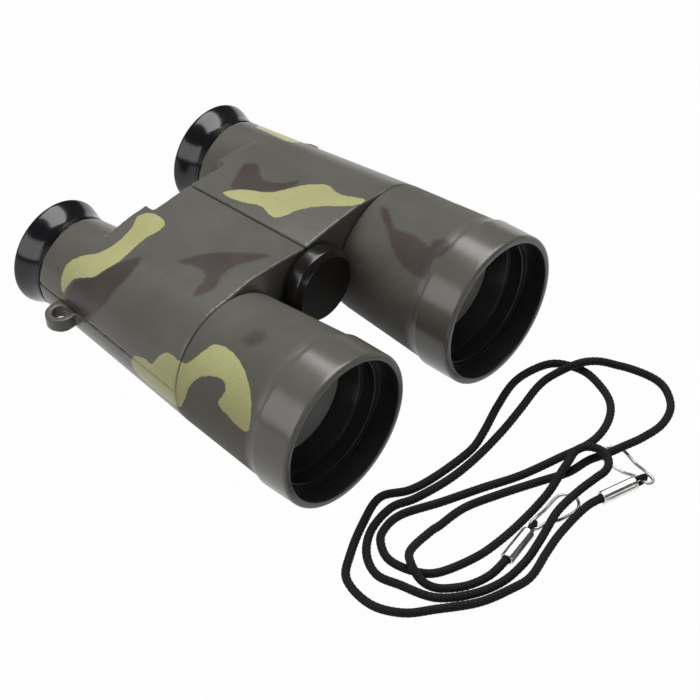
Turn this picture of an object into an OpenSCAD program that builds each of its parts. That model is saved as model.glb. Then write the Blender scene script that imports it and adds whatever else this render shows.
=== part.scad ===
// Toy binoculars: two tapered tubes on a centre hinge, with an unhooked neck cord.
// A tube is drawn level, its front rim at y = 0 and its axis at z = 0, and then set down on the table.
// Right and left are the user's: the right tube is at -X, the objectives look along -Y.

/* [Tubes] */
// Distance between the two tube axes
eye_spacing = 61.6; // [58:0.1:70]
// Length of a barrel, from its front rim to the housing
barrel_length = 42.3; // [38:0.1:50]
// Length of a housing, with its neck
housing_length = 61.2; // [58:0.1:70]
// Length of an eyecup behind the neck
eyecup_length = 9.4; // [8:0.1:12]

/* [Objective barrels] */
// Diameter of the smooth front collar
collar_d = 44.8; // [44.4:0.1:48]
// Length of the collar
collar_length = 11.5; // [8:0.1:14]
// Rounding of the collar's rear edge
collar_edge = 0.5; // [0.3:0.05:0.6]
// Rounding of the front rim
rim_round = 1.3; // [0.8:0.1:1.4]
// Rounding of the bore's front edge
mouth_round = 0.4; // [0.2:0.05:0.5]
// Wall between the collar and the bore at the front rim
rim_wall = 2.1; // [2:0.1:2.6]
// Step down from the collar to the barrel
collar_step = 0.6; // [0.3:0.05:1]
// Diameter of the barrel at the housing
barrel_rear_d = 39.4; // [38.6:0.1:41]
// Wall of the barrel around the spigot
barrel_wall = 2.35; // [1.8:0.05:2.6]
// Width of the lens seat's ledge
seat_width = 4; // [2.6:0.1:4.2]
// Thickness of the lens seat's ledge
seat_t = 2; // [1.4:0.1:3]

/* [Objective lenses] */
// Wall between the collar and the lens's pocket
lens_wall = 3.05; // [2.8:0.05:3.6]
// Thickness of the lens at its flat rim
lens_t = 2; // [1.4:0.1:3]
// Depth of the lens behind the front rim
lens_depth = 16.6; // [14:0.1:20]
// Height of the lens's front dome
lens_front_sag = 1.4; // [0.8:0.1:2]
// Height of the lens's rear dome
lens_rear_sag = 0.9; // [0.5:0.1:1.6]
// Width of the retainer's face on the lens
window_ledge = 4.6; // [4.2:0.1:5.4]
// Depth of the retainer's front edge behind the rim
retainer_depth = 6.7; // [5:0.1:8]
// Wall of the retainer at its front edge
retainer_wall = 0.9; // [0.7:0.05:1.2]
// Width of the retainer's front step
retainer_step_w = 1; // [0.6:0.05:1.4]
// Depth of the retainer's front step
retainer_step = 4.4; // [3:0.1:6]

/* [Housings] */
// Step down from the barrel to the housing
housing_step = 0.1; // [0:0.05:0.4]
// Diameter of the neck's end
neck_d = 28.1; // [27.6:0.1:29.5]
// Wall of the moulded shells
wall = 2.2; // [1.8:0.1:2.6]
// Length of the spigot that the barrel sleeves over
spigot_length = 8; // [6:0.1:12]
// Wall of the spigot
spigot_wall = 2; // [1.5:0.1:2.4]
// Chamfer that makes the dark line between barrel and housing
seam_chamfer = 0.4; // [0.2:0.05:0.6]
// Gap between upper and lower shell
parting_gap = 0.12; // [0.06:0.01:0.2]

/* [Bridge] */
// Height of the bridge's ridge above the tube at the front
ridge_rise_front = 1.3; // [0.8:0.1:2]
// Height of the bridge's ridge above the tube at the rear
ridge_rise_rear = 1.6; // [1:0.1:2.2]
// Height of the ridge above the centre seam at the front
seam_drop = 1.8; // [1:0.1:2.2]
// Height of the centre seam above the ridge at the rear
seam_rise = 1.3; // [0.8:0.1:1.8]
// Distance of the ridge from the tube's axis, towards the centre
ridge_in = 9.8; // [8:0.1:12]
// Length of the bridge at the hinge
hinge_length = 45.2; // [42:0.1:48]
// Extra length of the bridge beside the tubes
rear_step = 3.5; // [2:0.1:4]
// Half width of the shorter part at the hinge
step_half_w = 14; // [13.4:0.1:15]
// Thickness of the bridge's floor
floor_t = 1.8; // [1.4:0.1:2.4]
// Rise of the bridge's top between ridge and seam, at the front
crown = 0.3; // [0.1:0.05:0.5]
// Gap between the two halves at the centre seam
seam_gap = 0.34; // [0.32:0.02:0.5]

/* [Hinge] */
// Height of the hinge's axis above the tube axes
hinge_h = 8.5; // [8.2:0.1:9]
// Diameter of the knuckles
knuckle_d = 13.2; // [12.4:0.1:13.6]
// Number of knuckles, shared by the two halves
knuckles = 5; // [3:2:7]
// Clearance around and between the knuckles
hinge_clear = 0.4; // [0.35:0.05:0.5]
// Diameter of the axle
axle_d = 4; // [3:0.1:5]
// Running clearance of the axle in the knuckles
axle_clear = 0.05; // [0.02:0.01:0.1]
// Clearance of the axle in the end walls
axle_hole_clear = 0.5; // [0.4:0.1:1]
// Largest fold of the left half
fold_max = 40; // [30:1:44]

/* [Knob and axle ends] */
// Diameter of the knob
knob_d = 22; // [18:0.1:22.4]
// Length of the knob
knob_length = 5.8; // [5:0.1:8]
// Bevel of the knob's front edge
knob_bevel = 1.1; // [0.6:0.1:1.6]
// Least gap between the knob and the barrels beside it
knob_clear = 0.4; // [0.3:0.05:0.6]
// Depth of the axle's socket in the knob
knob_socket = 4.2; // [3:0.1:4.6]
// Diameter of the washer behind the knob
washer_d = 11; // [9:0.1:13]
// Thickness of the washer
washer_t = 0.6; // [0.4:0.1:1]
// Gap on each side of the washer
washer_gap = 0.35; // [0.32:0.01:0.5]
// Diameter of the rear cap
cap_d = 9; // [7:0.1:11]
// Length of the rear cap
cap_length = 3; // [2.4:0.1:4]
// Depth of the axle's socket in the cap
cap_socket = 2; // [1.5:0.1:2.2]
// Gap between the rear cap and the bridge
cap_gap = 0.35; // [0.32:0.01:0.5]

/* [Shell screws] */
// Diameter of a screw
screw_d = 2.5; // [2:0.1:3]
// Length of a screw under its head
screw_length = 9; // [7:0.1:11]
// Diameter of a screw's head
screw_head_d = 4.6; // [4:0.1:4.8]
// Height of a screw's head
screw_head_h = 1.5; // [1:0.1:2]
// Depth of a screw's hole beyond its tip
screw_spare = 0.5; // [0.3:0.1:1]
// Diameter of the moulded bosses
boss_d = 6; // [5:0.1:6.6]
// Wall between a screw's hole and the hinge's channel
boss_wall = 1; // [0.8:0.1:1.2]
// Distance of the front bosses behind the bridge's front face
boss_front = 12; // [11:0.1:16]
// Distance of the rear bosses behind the bridge's front face
boss_rear = 36; // [30:0.1:37]

/* [Strap lugs] */
// Hole of a lug
lug_hole_d = 4.6; // [4:0.1:5]
// Outer diameter of a lug
lug_d = 8.6; // [8:0.1:9.6]
// Thickness of a lug
lug_t = 4; // [3:0.1:5]
// Distance of the lug's hole from the tube
lug_stand = 2.7; // [2.6:0.1:3.4]
// Distance of the lug behind the bridge's front face
lug_at = 47.7; // [44:0.1:52]

/* [Eyepieces] */
// Flare of an eyecup beyond the neck
eyecup_flare = 1.85; // [1.5:0.05:3]
// Rounding of the eyecup's lip
eyecup_lip = 1; // [0.6:0.1:1.2]
// Width of the groove between neck and eyecup
groove_w = 0.5; // [0.3:0.05:0.8]
// Depth of the groove between neck and eyecup
groove_depth = 0.3; // [0.2:0.05:0.5]
// Length of the eyecup's straight waist, with its groove
waist_length = 1.4; // [1:0.1:2]
// Wall of the flared cup at its lip
eyecup_wall = 2.6; // [2.4:0.1:3]
// Wall of the neck around the eyecup's sleeve
neck_wall = 2; // [1.6:0.1:2.4]
// Length of the sleeve in the neck
sleeve_length = 8; // [7:0.1:10]
// Wall of the sleeve
sleeve_wall = 1.7; // [1.4:0.1:2]
// Width of the eyecup's ledge on the eye lens
eye_rim = 1.75; // [1.2:0.05:2.5]
// Thickness of the ledge that carries the eye lens
eye_ledge = 3; // [2:0.1:3.4]
// Rounding of the window's edge
window_round = 0.8; // [0.4:0.1:1]
// Thickness of the eye lens at its rim
eye_lens_t = 2.6; // [2.2:0.1:3]
// Depth of each hollow face of the eye lens
eye_lens_sag = 0.7; // [0.3:0.05:0.9]
// Wall of the ring that holds the eye lens
eye_ring_wall = 1.6; // [1:0.1:2]

/* [Neck cord] */
// Diameter of the braided cord
cord_d = 2.4; // [2:0.1:2.4]
// Least gap where the cord passes over itself
cord_gap = 0.5; // [0.45:0.05:0.6]
// Wall of a ferrule around the cord
ferrule_wall = 0.65; // [0.6:0.05:0.9]
// Length of a ferrule
ferrule_length = 11; // [9:0.1:12]
// Depth of the cord's socket in a ferrule
ferrule_socket = 1.5; // [1:0.1:2.5]
// Depth of the creases crimped along a ferrule
crease = 0.35; // [0.2:0.05:0.4]
// Thickness of the end loop's cord
loop_d = 1.4; // [1.2:0.1:1.4]
// Radius of the end loop's bend
loop_bend = 1.3; // [1.3:0.05:1.4]
// Straight length of the end loop
loop_leg = 2.2; // [1.8:0.1:3]
// Diameter of the clip's wire
wire_d = 0.9; // [0.7:0.05:1]
// Length of a clip behind its narrow end
clip_length = 15.6; // [14.6:0.1:16]
// Largest half width of a clip
clip_half_w = 3.2; // [2.8:0.1:3.4]
// Half width of a clip's narrow end
clip_neck = 1.35; // [1.3:0.05:1.5]
// Length of a clip's narrow bend
clip_bend = 1.6; // [1.4:0.1:2]
// Length over which a clip comes down to the table
clip_slope = 6; // [5:0.1:8]
// Slack of a clip's narrow bend in its end loop
clip_slack = 0.4; // [0.3:0.05:0.6]

/* [Fits] */
// Radial clearance of pieces that are pushed together
fit = 0.05; // [0.03:0.01:0.1]

/* [Hidden] */
$fn = 96;
olive = "#5e5d56";
black = "#1d1d1f";
steel = "#b9bcc0";
glass = "#8fa3a8";

// Places along a tube
half_spacing = eye_spacing / 2;
housing_y = barrel_length;
neck_y = housing_y + housing_length;
tube_length = neck_y + eyecup_length;
seat_y = lens_depth + lens_t;
bridge_length = hinge_length + rear_step;
bridge_rear_y = housing_y + bridge_length;
hinge_rear_y = housing_y + hinge_length;
lug_y = housing_y + lug_at;

// Radii of a tube
collar_r = collar_d / 2;
mouth_r = collar_r - rim_wall;
barrel_front_r = collar_r - collar_step;
barrel_rear_r = barrel_rear_d / 2;
pocket_r = collar_r - lens_wall;
lens_r = pocket_r - fit;
window_r = lens_r - window_ledge;
socket_r = barrel_rear_r - barrel_wall;
spigot_r = socket_r - fit;
housing_front_r = barrel_rear_r - housing_step;
neck_r = neck_d / 2;
sleeve_r = neck_r - neck_wall - fit;
eye_lens_r = sleeve_r - sleeve_wall - fit;
eye_window_r = eye_lens_r - eye_rim;
eyecup_r = neck_r + eyecup_flare;

// Heights of the bridge's top
ridge_h_front = housing_front_r + ridge_rise_front;
ridge_h_rear = housing_r_at(bridge_rear_y) + ridge_rise_rear;
seam_h_front = ridge_h_front - seam_drop;
seam_h_rear = ridge_h_rear + seam_rise;

// The hinge
channel_r = knuckle_d / 2 + hinge_clear;
parting_z = hinge_h - channel_r;
floor_z = parting_z - floor_t;
half_gap = seam_gap / 2;
knuckle_front = housing_y + wall;
knuckle_rear = hinge_rear_y - wall;
knuckle_pitch = (knuckle_rear - knuckle_front - hinge_clear) / knuckles;
floor_half_gap = half_gap + (hinge_h - floor_z) * tan(fold_max / 2);
bridge_steps = 6;
boss_x = -half_gap - channel_r - boss_wall - screw_d / 2 - fit;
lug_x = -half_spacing - housing_r_at(lug_y) - lug_stand;

// The axle and what is on its ends
knob_rear_y = housing_y - washer_t - 2 * washer_gap;
knob_front_y = knob_rear_y - knob_length;
knob_room = norm([half_spacing, hinge_h]) - barrel_r_at(knob_front_y) - knob_clear;
knob_r = min(knob_d / 2, knob_room);
cap_front_y = hinge_rear_y + cap_gap;
axle_front_y = knob_rear_y - knob_socket;
axle_rear_y = cap_front_y + cap_socket;

// The part rests on the collars' rear edges and on the eyecups' lips
rest_front = [collar_length - collar_edge, collar_r - collar_edge];
rest_rear = [tube_length - eyecup_lip, eyecup_r - eyecup_lip];
rest_span = rest_rear - rest_front;
pitch = atan2(-rest_span[1], rest_span[0]) + asin((collar_edge - eyecup_lip) / norm(rest_span));
axis_height = rest_front[0] * sin(pitch) + rest_front[1] * cos(pitch) + collar_edge;
front_y = rim_round * cos(pitch) - (collar_r - rim_round) * sin(pitch) - rim_round;
rear_y = rest_rear[0] * cos(pitch) + rest_rear[1] * sin(pitch) + eyecup_lip;

// The cord: points on the table in millimetres, with how many cord layers each lies above it
cord_r = cord_d / 2;
ferrule_d = cord_d + 2 * (fit + ferrule_wall);
cord_steps = 2;
cord_sides = 8;
ferrule_z = max(loop_bend + loop_d / 2, ferrule_d / 2);
ferrule_a_at = [12.5, -107.5];
ferrule_a_turn = -17;
ferrule_b_at = [-20.5, -102.3];
ferrule_b_turn = 8;
clip_steps = 4;
wire_sides = 6;
clip_a_turn = 81;
clip_b_turn = -4;
cord_points = [
    [7.6, -106.3, 0.2], [-2.6, -106.5, 0], [-10.8, -107.9, 0], [-19.8, -109.9, 0], [-26.4, -108.7, 0],
    [-35.2, -105.5, 0], [-44, -99.2, 0], [-50.6, -93.9, 0], [-54.2, -86.1, 0], [-52.5, -76.8, 0],
    [-45.9, -72, 0], [-36.2, -67.5, 0], [-26.6, -64.8, 0], [-19.4, -68.8, 0], [-10.6, -70.7, 0],
    [2.4, -71.4, 0], [10.4, -69.6, 0], [19.9, -66.4, 0], [30, -63.9, 0], [37.9, -64.6, 0],
    [44.2, -67.5, 0], [47.2, -73.8, 0], [46.8, -79.8, 0], [43.1, -87.6, 0], [36.4, -92, 0],
    [27.4, -93.2, 0], [16.8, -90.4, 0], [4.7, -86.8, 0], [-5.4, -82.3, 0], [-16.6, -77.6, 0],
    [-27.4, -72.7, 0], [-34.6, -73, 0], [-38.4, -75.8, 0], [-40.5, -80.6, 0], [-39, -87.2, 0],
    [-35, -92.1, 0], [-24.8, -95.8, 0], [-15.6, -96.9, 0], [-5.4, -96.9, 0.05], [4.2, -96.4, 0.4],
    [11.6, -95.2, 1.1], [15.2, -94.6, 1.3], [18.2, -94, 1.4], [20.7, -94.7, 1.5], [22.5, -96.5, 1.5],
    [23.2, -99, 1.5], [22.5, -101.5, 1.5], [20.7, -103.3, 1.5], [18.2, -104, 1.4], [15, -103.4, 1.2],
    [8.8, -102.4, 0.85], [-0.4, -102.8, 0.95], [-9.4, -104.7, 0.45], [-17.4, -105.9, 0], [-26.2, -105.7, 0],
    [-34.6, -102.5, 0], [-41.6, -96.5, 0], [-44.6, -87.6, 0], [-46.2, -81.2, 0], [-43, -74.9, 0],
    [-36.2, -70.5, 0], [-27.2, -69.3, 0], [-20.4, -71.8, 0], [-9.4, -73.9, 0], [1.4, -74.2, 0],
    [13.5, -73.2, 0], [23.6, -71.6, 0], [34.4, -69.7, 0], [39.7, -70.9, 0.5], [46, -73.9, 1.05],
    [51.5, -76.6, 0.65], [55.8, -80.7, 0], [58.5, -89, 0], [58, -95.3, 0], [53.1, -101.1, 0],
    [46, -103.3, 0], [37.5, -102.7, 0.3], [30.6, -101.2, 0.6], [25, -99.4, 0.6], [21, -96.9, 0.2],
    [14.2, -95.3, 0], [6, -91.5, 0], [-4, -87, 0], [-14, -83.2, 0], [-22.8, -82.4, 0],
    [-26.9, -82.4, 0.3], [-35.8, -83.4, 0.8], [-39.5, -86.8, 1], [-40.6, -91.5, 0.4], [-38.5, -95.7, 0],
    [-33.2, -100, 0], [-26.7, -102.4, 0.2]
];

// The barrel's and the housing's taper, as a radius at a distance behind the rim
function barrel_r_at(y) =
    mix(barrel_front_r, barrel_rear_r, (y - collar_length) / (housing_y - seam_chamfer - collar_length));
function housing_r_at(y) = mix(housing_front_r, neck_r, (y - housing_y) / housing_length);
function arc(centre, r, from, to, steps = 6) = [
    for (i = [0 : steps])
        let (a = from + (to - from) * i / steps)
        centre + r * [cos(a), sin(a)]
];
// Half outline of a spherical dome, as [radius, height] from its top to its rim
function dome(r, sag) =
    let (ball = (r * r + sag * sag) / (2 * sag), steps = 8) [
    for (i = [0 : steps])
        let (a = asin(r / ball) * i / steps)
        [ball * sin(a), ball * cos(a) - (ball - sag)]
];
function reversed(list) = [for (i = [len(list) - 1 : -1 : 0]) list[i]];
function unit(v) = v / norm(v);
function mix(a, b, t) = a + (b - a) * t;
function heading(turn) = [cos(turn), sin(turn), 0];

// One smooth curve through a list of points
function between(a, b, c, d, t) =
    0.5 * (2 * b + (c - a) * t + (2 * a - 5 * b + 4 * c - d) * t * t + (3 * b - a - 3 * c + d) * t * t * t);
function smooth(points, steps) = let (last = len(points) - 1) [
    for (i = [0 : last - 1])
        for (k = [0 : steps - 1])
            between(points[max(i - 1, 0)], points[i], points[i + 1], points[min(i + 2, last)], k / steps),
    points[last]
];
function smooth_loop(points, steps) = let (n = len(points)) [
    for (i = [0 : n - 1])
        for (k = [0 : steps - 1])
            between(points[(i + n - 1) % n], points[i], points[(i + 1) % n], points[(i + 2) % n], k / steps)
];
function path_length(path) = [
    for (i = [0 : len(path) - 2]) norm(path[i + 1] - path[i])
] * [for (i = [0 : len(path) - 2]) 1];
function least_gap(path, thickness, skip) = min([
    for (i = [0 : len(path) - 1 - skip])
        for (j = [i + skip : len(path) - 1])
            norm(path[i] - path[j]) - thickness
]);

// A ring of points square to a path's direction
function ring(at, along, r, sides) =
    let (side = unit(cross(along, [0, 0, 1])), up = cross(side, along)) [
    for (k = [0 : sides - 1])
        at + r * (cos(360 * k / sides) * side - sin(360 * k / sides) * up)
];
function tube_faces(rings, sides, wraps) = [
    for (i = [0 : rings - (wraps ? 1 : 2)])
        for (k = [0 : sides - 1])
            let (n = (i + 1) % rings, m = (k + 1) % sides)
            each [
                [i * sides + k, n * sides + m, i * sides + m],
                [i * sides + k, n * sides + k, n * sides + m]
            ]
];

// The cord's centre line, between the sockets of its two ferrules
function on_table(point) = [point[0], point[1], cord_r + point[2] * (cord_d + cord_gap)];
function above_table(point, least) = [point[0], point[1], max(point[2], least)];
function ferrule_point(at, turn, along) = [at[0], at[1], ferrule_z] + along * heading(turn);
cord_route = concat(
    [ferrule_point(ferrule_a_at, ferrule_a_turn, ferrule_socket)],
    [for (point = cord_points) on_table(point)],
    [ferrule_point(ferrule_b_at, ferrule_b_turn, ferrule_socket)]
);
cord_path = [for (point = smooth(cord_route, cord_steps)) above_table(point, cord_r)];
gap_path = [for (point = smooth(cord_route, 6)) above_table(point, cord_r)];
echo(cord_length = path_length(gap_path));
echo(cord_least_gap = least_gap(gap_path, cord_d, 10));

// Sets a tube's pieces down on the table
module stand() {
    translate([0, -(front_y + rear_y) / 2, axis_height])
        rotate([-pitch, 0, 0])
            children();
}

// Right half as drawn, left half as its mirror image
module on_side(left) {
    stand()
        mirror([left ? 1 : 0, 0, 0])
            children();
}

// Turns a profile of [radius, distance behind the rim] about the right tube's axis
module turned(profile) {
    translate([-half_spacing, 0, 0])
        rotate([-90, 0, 0])
            rotate_extrude()
                polygon(profile);
}

// A rod along the hinge's axis
module hinge_rod(d, from, to) {
    translate([0, from, hinge_h])
        rotate([-90, 0, 0])
            cylinder(d = d, h = to - from);
}

// Objective barrel, sleeved over the housing's spigot
module objective_barrel() {
    color(olive)
        turned(concat(
            arc([mouth_r + mouth_round, mouth_round], mouth_round, 180, 270),
            arc([collar_r - rim_round, rim_round], rim_round, 270, 360),
            arc([collar_r - collar_edge, collar_length - collar_edge], collar_edge, 0, 90),
            [
                [barrel_front_r, collar_length],
                [barrel_rear_r, housing_y - seam_chamfer],
                [barrel_rear_r - seam_chamfer, housing_y],
                [socket_r, housing_y],
                [socket_r, seat_y + seat_t],
                [lens_r - seat_width, seat_y + seat_t],
                [lens_r - seat_width, seat_y],
                [pocket_r, seat_y],
                [pocket_r, retainer_depth],
                [mouth_r, retainer_depth]
            ]
        ));
}

// Stepped sleeve that holds the objective lens against its seat
module lens_retainer() {
    step_y = retainer_depth + retainer_step;
    front_r = lens_r - retainer_wall;
    color(black)
        turned([
            [lens_r, retainer_depth],
            [lens_r, lens_depth],
            [window_r, lens_depth],
            [front_r - retainer_step_w, step_y],
            [front_r, step_y],
            [front_r, retainer_depth]
        ]);
}

// Moulded objective lens: flat rim, domed on both sides
module objective_lens() {
    dome_r = window_r - fit;
    color(glass)
        turned(concat(
            [for (p = dome(dome_r, lens_front_sag)) [p[0], lens_depth - p[1]]],
            [[lens_r, lens_depth], [lens_r, seat_y]],
            [for (p = reversed(dome(dome_r, lens_rear_sag))) [p[0], seat_y + p[1]]]
        ));
}

// Flared cup, with the sleeve that goes into the neck
module eyecup() {
    lip_y = tube_length - eyecup_lip;
    waist_y = neck_y + waist_length;
    ledge_y = neck_y + eye_ledge;
    bowl_r = eyecup_r - eyecup_wall;
    color(black)
        turned(concat(
            [
                [sleeve_r, neck_y - sleeve_length],
                [sleeve_r, neck_y],
                [neck_r - groove_depth, neck_y],
                [neck_r - groove_depth, neck_y + groove_w],
                [neck_r, neck_y + groove_w],
                [neck_r, waist_y]
            ],
            [for (t = [0.125 : 0.125 : 0.875])
                [mix(neck_r, eyecup_r, t * sin(90 * t)), mix(waist_y, lip_y, t)]],
            arc([eyecup_r - eyecup_lip, lip_y], eyecup_lip, 0, 90),
            arc([bowl_r + eyecup_lip / 2, tube_length - eyecup_lip / 2], eyecup_lip / 2, 90, 180),
            [[sleeve_r, ledge_y]],
            arc([eye_window_r + window_round, ledge_y - window_round], window_round, 90, 180),
            [
                [eye_window_r, neck_y],
                [eye_lens_r + fit, neck_y],
                [eye_lens_r + fit, neck_y - sleeve_length]
            ]
        ));
}

// Eye lens, hollow on both sides
module eye_lens() {
    hollow = dome(eye_window_r, eye_lens_sag);
    color(glass)
        turned(concat(
            [for (p = hollow) [p[0], neck_y - eye_lens_t + p[1]]],
            [[eye_lens_r, neck_y - eye_lens_t], [eye_lens_r, neck_y]],
            [for (p = reversed(hollow)) [p[0], neck_y - p[1]]]
        ));
}

// Ring pushed in behind the eye lens
module eye_lens_ring() {
    color(black)
        turned([
            [eye_lens_r, neck_y - sleeve_length],
            [eye_lens_r, neck_y - eye_lens_t],
            [eye_lens_r - eye_ring_wall, neck_y - eye_lens_t],
            [eye_lens_r - eye_ring_wall, neck_y - sleeve_length]
        ]);
}

// Cross-section of the right half's bridge at a distance behind the rim; inset shrinks it to the hollow
function bridge_section(y, inset) =
    let (
        t = (y - housing_y) / bridge_length,
        seam_x = -half_gap - (inset > 0 ? channel_r + inset : 0),
        ridge_x = -half_spacing + ridge_in,
        ridge_z = mix(ridge_h_front, ridge_h_rear, t) - inset,
        seam_z = mix(seam_h_front, seam_h_rear, t) - inset
    ) concat(
        [[-half_spacing, y, inset > 0 ? parting_z : floor_z]],
        [[-half_spacing, y, housing_r_at(y) - inset]],
        [for (k = [0 : bridge_steps])
            let (u = k / bridge_steps)
            [mix(ridge_x, seam_x, u), y, mix(ridge_z, seam_z, u) + 4 * crown * (1 - t) * u * (1 - u)]],
        inset > 0 ? [[seam_x, y, parting_z]] : [[seam_x, y, hinge_h], [-floor_half_gap, y, floor_z]]
    );

// Bridge between two distances behind the rim, as one loft
module bridge(inset, y_front, y_rear) {
    sections = [
        for (i = [0 : bridge_steps]) bridge_section(mix(y_front, y_rear, i / bridge_steps), inset)
    ];
    sides = len(sections[0]);
    last = bridge_steps * sides;
    ends = [for (k = [1 : sides - 2]) each [[0, k + 1, k], [last, last + k, last + k + 1]]];
    polyhedron(
        points = [for (section = sections) each section],
        faces = concat(ends, tube_faces(bridge_steps + 1, sides, false))
    );
}

// The housing's outside: tapered tube with its spigot, and the bridge with its rear step
module housing_outside() {
    turned([
        [0, housing_y - spigot_length],
        [spigot_r, housing_y - spigot_length],
        [spigot_r, housing_y],
        [housing_front_r - seam_chamfer, housing_y],
        [housing_front_r, housing_y + seam_chamfer],
        [neck_r, neck_y],
        [0, neck_y]
    ]);
    difference() {
        bridge(0, housing_y, bridge_rear_y);
        translate([-step_half_w, hinge_rear_y, floor_z - 1])
            cube([step_half_w, bridge_length, ridge_h_front - floor_z + 2]);
    }
}

// The housing's hollow: light path, socket of the eyecup's sleeve, and the bridge's inside
module housing_inside() {
    bore_r = spigot_r - spigot_wall;
    step_y = housing_y + wall;
    socket_y = neck_y - sleeve_length;
    turned([
        [0, housing_y - spigot_length - 1],
        [bore_r, housing_y - spigot_length - 1],
        [bore_r, step_y],
        [housing_r_at(step_y) - wall, step_y],
        [housing_r_at(socket_y - wall) - wall, socket_y - wall],
        [sleeve_r + fit, socket_y - wall],
        [sleeve_r + fit, neck_y + 1],
        [0, neck_y + 1]
    ]);
    bridge(wall, housing_y + wall, hinge_rear_y - wall);
}

// Own knuckles of one half, with the web that carries them
module own_knuckles(left) {
    for (i = [left ? 1 : 0 : 2 : knuckles - 1]) {
        from = knuckle_front + hinge_clear + i * knuckle_pitch;
        to = from + knuckle_pitch - hinge_clear;
        hinge_rod(knuckle_d, from, to);
        translate([-channel_r - wall / 2, from, hinge_h - knuckle_d / 3])
            cube([channel_r + wall / 2, to - from, 2 * knuckle_d / 3]);
    }
}

module boss_places() {
    for (y = [boss_front, boss_rear])
        translate([boss_x, housing_y + y, 0])
            children();
}

// A block that keeps what lies above the parting plane
module above_parting() {
    size = 2 * tube_length;
    translate([-size, -size / 2, parting_z + parting_gap])
        cube([2 * size, 2 * size, size]);
}

module below_parting() {
    size = 2 * tube_length;
    translate([-size, -size / 2, parting_z - size])
        cube([2 * size, 2 * size, size]);
}

// Upper shell: top of the tube, bridge plate, hinge knuckles and screw bosses
module upper_shell(left) {
    color(olive)
        difference() {
            union() {
                difference() {
                    union() {
                        intersection() {
                            difference() {
                                housing_outside();
                                housing_inside();
                            }
                            above_parting();
                        }
                        boss_places()
                            translate([0, 0, parting_z + parting_gap])
                                cylinder(d = boss_d, h = screw_length);
                    }
                    hinge_rod(2 * channel_r, knuckle_front, knuckle_rear);
                    hinge_rod(axle_d + 2 * axle_hole_clear, housing_y - 1, hinge_rear_y + 1);
                }
                own_knuckles(left);
            }
            hinge_rod(axle_d + 2 * axle_clear, knuckle_front, knuckle_rear);
            boss_places()
                translate([0, 0, floor_z])
                    cylinder(d = screw_d + 2 * fit, h = screw_length + screw_spare);
        }
}

// Lower shell: bottom of the tube, bridge floor and strap lug
module lower_shell() {
    color(olive)
        difference() {
            union() {
                difference() {
                    intersection() {
                        housing_outside();
                        below_parting();
                    }
                    housing_inside();
                }
                difference() {
                    translate([lug_x, lug_y, parting_z - lug_t])
                        lug_blank();
                    housing_inside();
                }
            }
            translate([lug_x, lug_y, parting_z - lug_t - 1])
                cylinder(d = lug_hole_d, h = lug_t + 2);
            boss_places()
                translate([0, 0, floor_z - 1])
                    cylinder(d = screw_d + 2 * fit, h = floor_t + 2);
        }
}

// The lug's ring, with the web that joins it to the tube
module lug_blank() {
    cylinder(d = lug_d, h = lug_t);
    translate([0, -lug_d / 2, 0])
        cube([lug_stand + wall / 2, lug_d, lug_t]);
}

// Self-tapping screws, driven up through the bridge's floor
module shell_screws() {
    color(steel)
        boss_places() {
            translate([0, 0, floor_z - screw_head_h])
                cylinder(d = screw_head_d, h = screw_head_h);
            translate([0, 0, floor_z])
                cylinder(d = screw_d, h = screw_length);
        }
}

// Steel rod through all the knuckles
module hinge_axle() {
    color(steel)
        stand()
            hinge_rod(axle_d, axle_front_y, axle_rear_y);
}

// Profile along the hinge's axis, turned about it
module on_hinge(profile) {
    stand()
        translate([0, 0, hinge_h])
            rotate([-90, 0, 0])
                rotate_extrude()
                    polygon(profile);
}

// Centre knob, pressed on the axle
module centre_knob() {
    color(black)
        on_hinge([
            [0, knob_front_y],
            [knob_r - knob_bevel, knob_front_y],
            [knob_r, knob_front_y + knob_bevel],
            [knob_r, knob_rear_y],
            [axle_d / 2 + fit, knob_rear_y],
            [axle_d / 2 + fit, axle_front_y],
            [0, axle_front_y]
        ]);
}

// Flat washer between the knob and the bridge
module knob_washer() {
    color(steel)
        on_hinge([
            [axle_d / 2 + axle_clear, housing_y - washer_gap - washer_t],
            [washer_d / 2, housing_y - washer_gap - washer_t],
            [washer_d / 2, housing_y - washer_gap],
            [axle_d / 2 + axle_clear, housing_y - washer_gap]
        ]);
}

// Domed cap pushed on the axle's rear end
module axle_cap() {
    r = cap_d / 2;
    color(black)
        on_hinge([
            [axle_d / 2 + fit, cap_front_y],
            [r, cap_front_y],
            [r, cap_front_y + cap_length / 2],
            [r - cap_length / 3, cap_front_y + cap_length],
            [0, cap_front_y + cap_length],
            [0, axle_rear_y],
            [axle_d / 2 + fit, axle_rear_y]
        ]);
}

// Neck cord in its loose loops, as one tube
module neck_cord() {
    last = len(cord_path) - 1;
    along = [
        for (i = [0 : last])
            i == 0 ? -heading(ferrule_a_turn) :
            i == last ? heading(ferrule_b_turn) :
            unit(cord_path[i + 1] - cord_path[i - 1])
    ];
    rings = [for (i = [0 : last]) each ring(cord_path[i], along[i], cord_r, cord_sides)];
    ends = [
        for (k = [1 : cord_sides - 2])
            each [[0, k, k + 1], [last * cord_sides, last * cord_sides + k + 1, last * cord_sides + k]]
    ];
    color(black)
        polyhedron(points = rings, faces = concat(tube_faces(last + 1, cord_sides, false), ends));
}

// Places a piece at a ferrule's cord end, along its heading
module at_ferrule(at, turn) {
    translate([at[0], at[1], ferrule_z])
        rotate([0, 0, turn])
            children();
}

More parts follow.
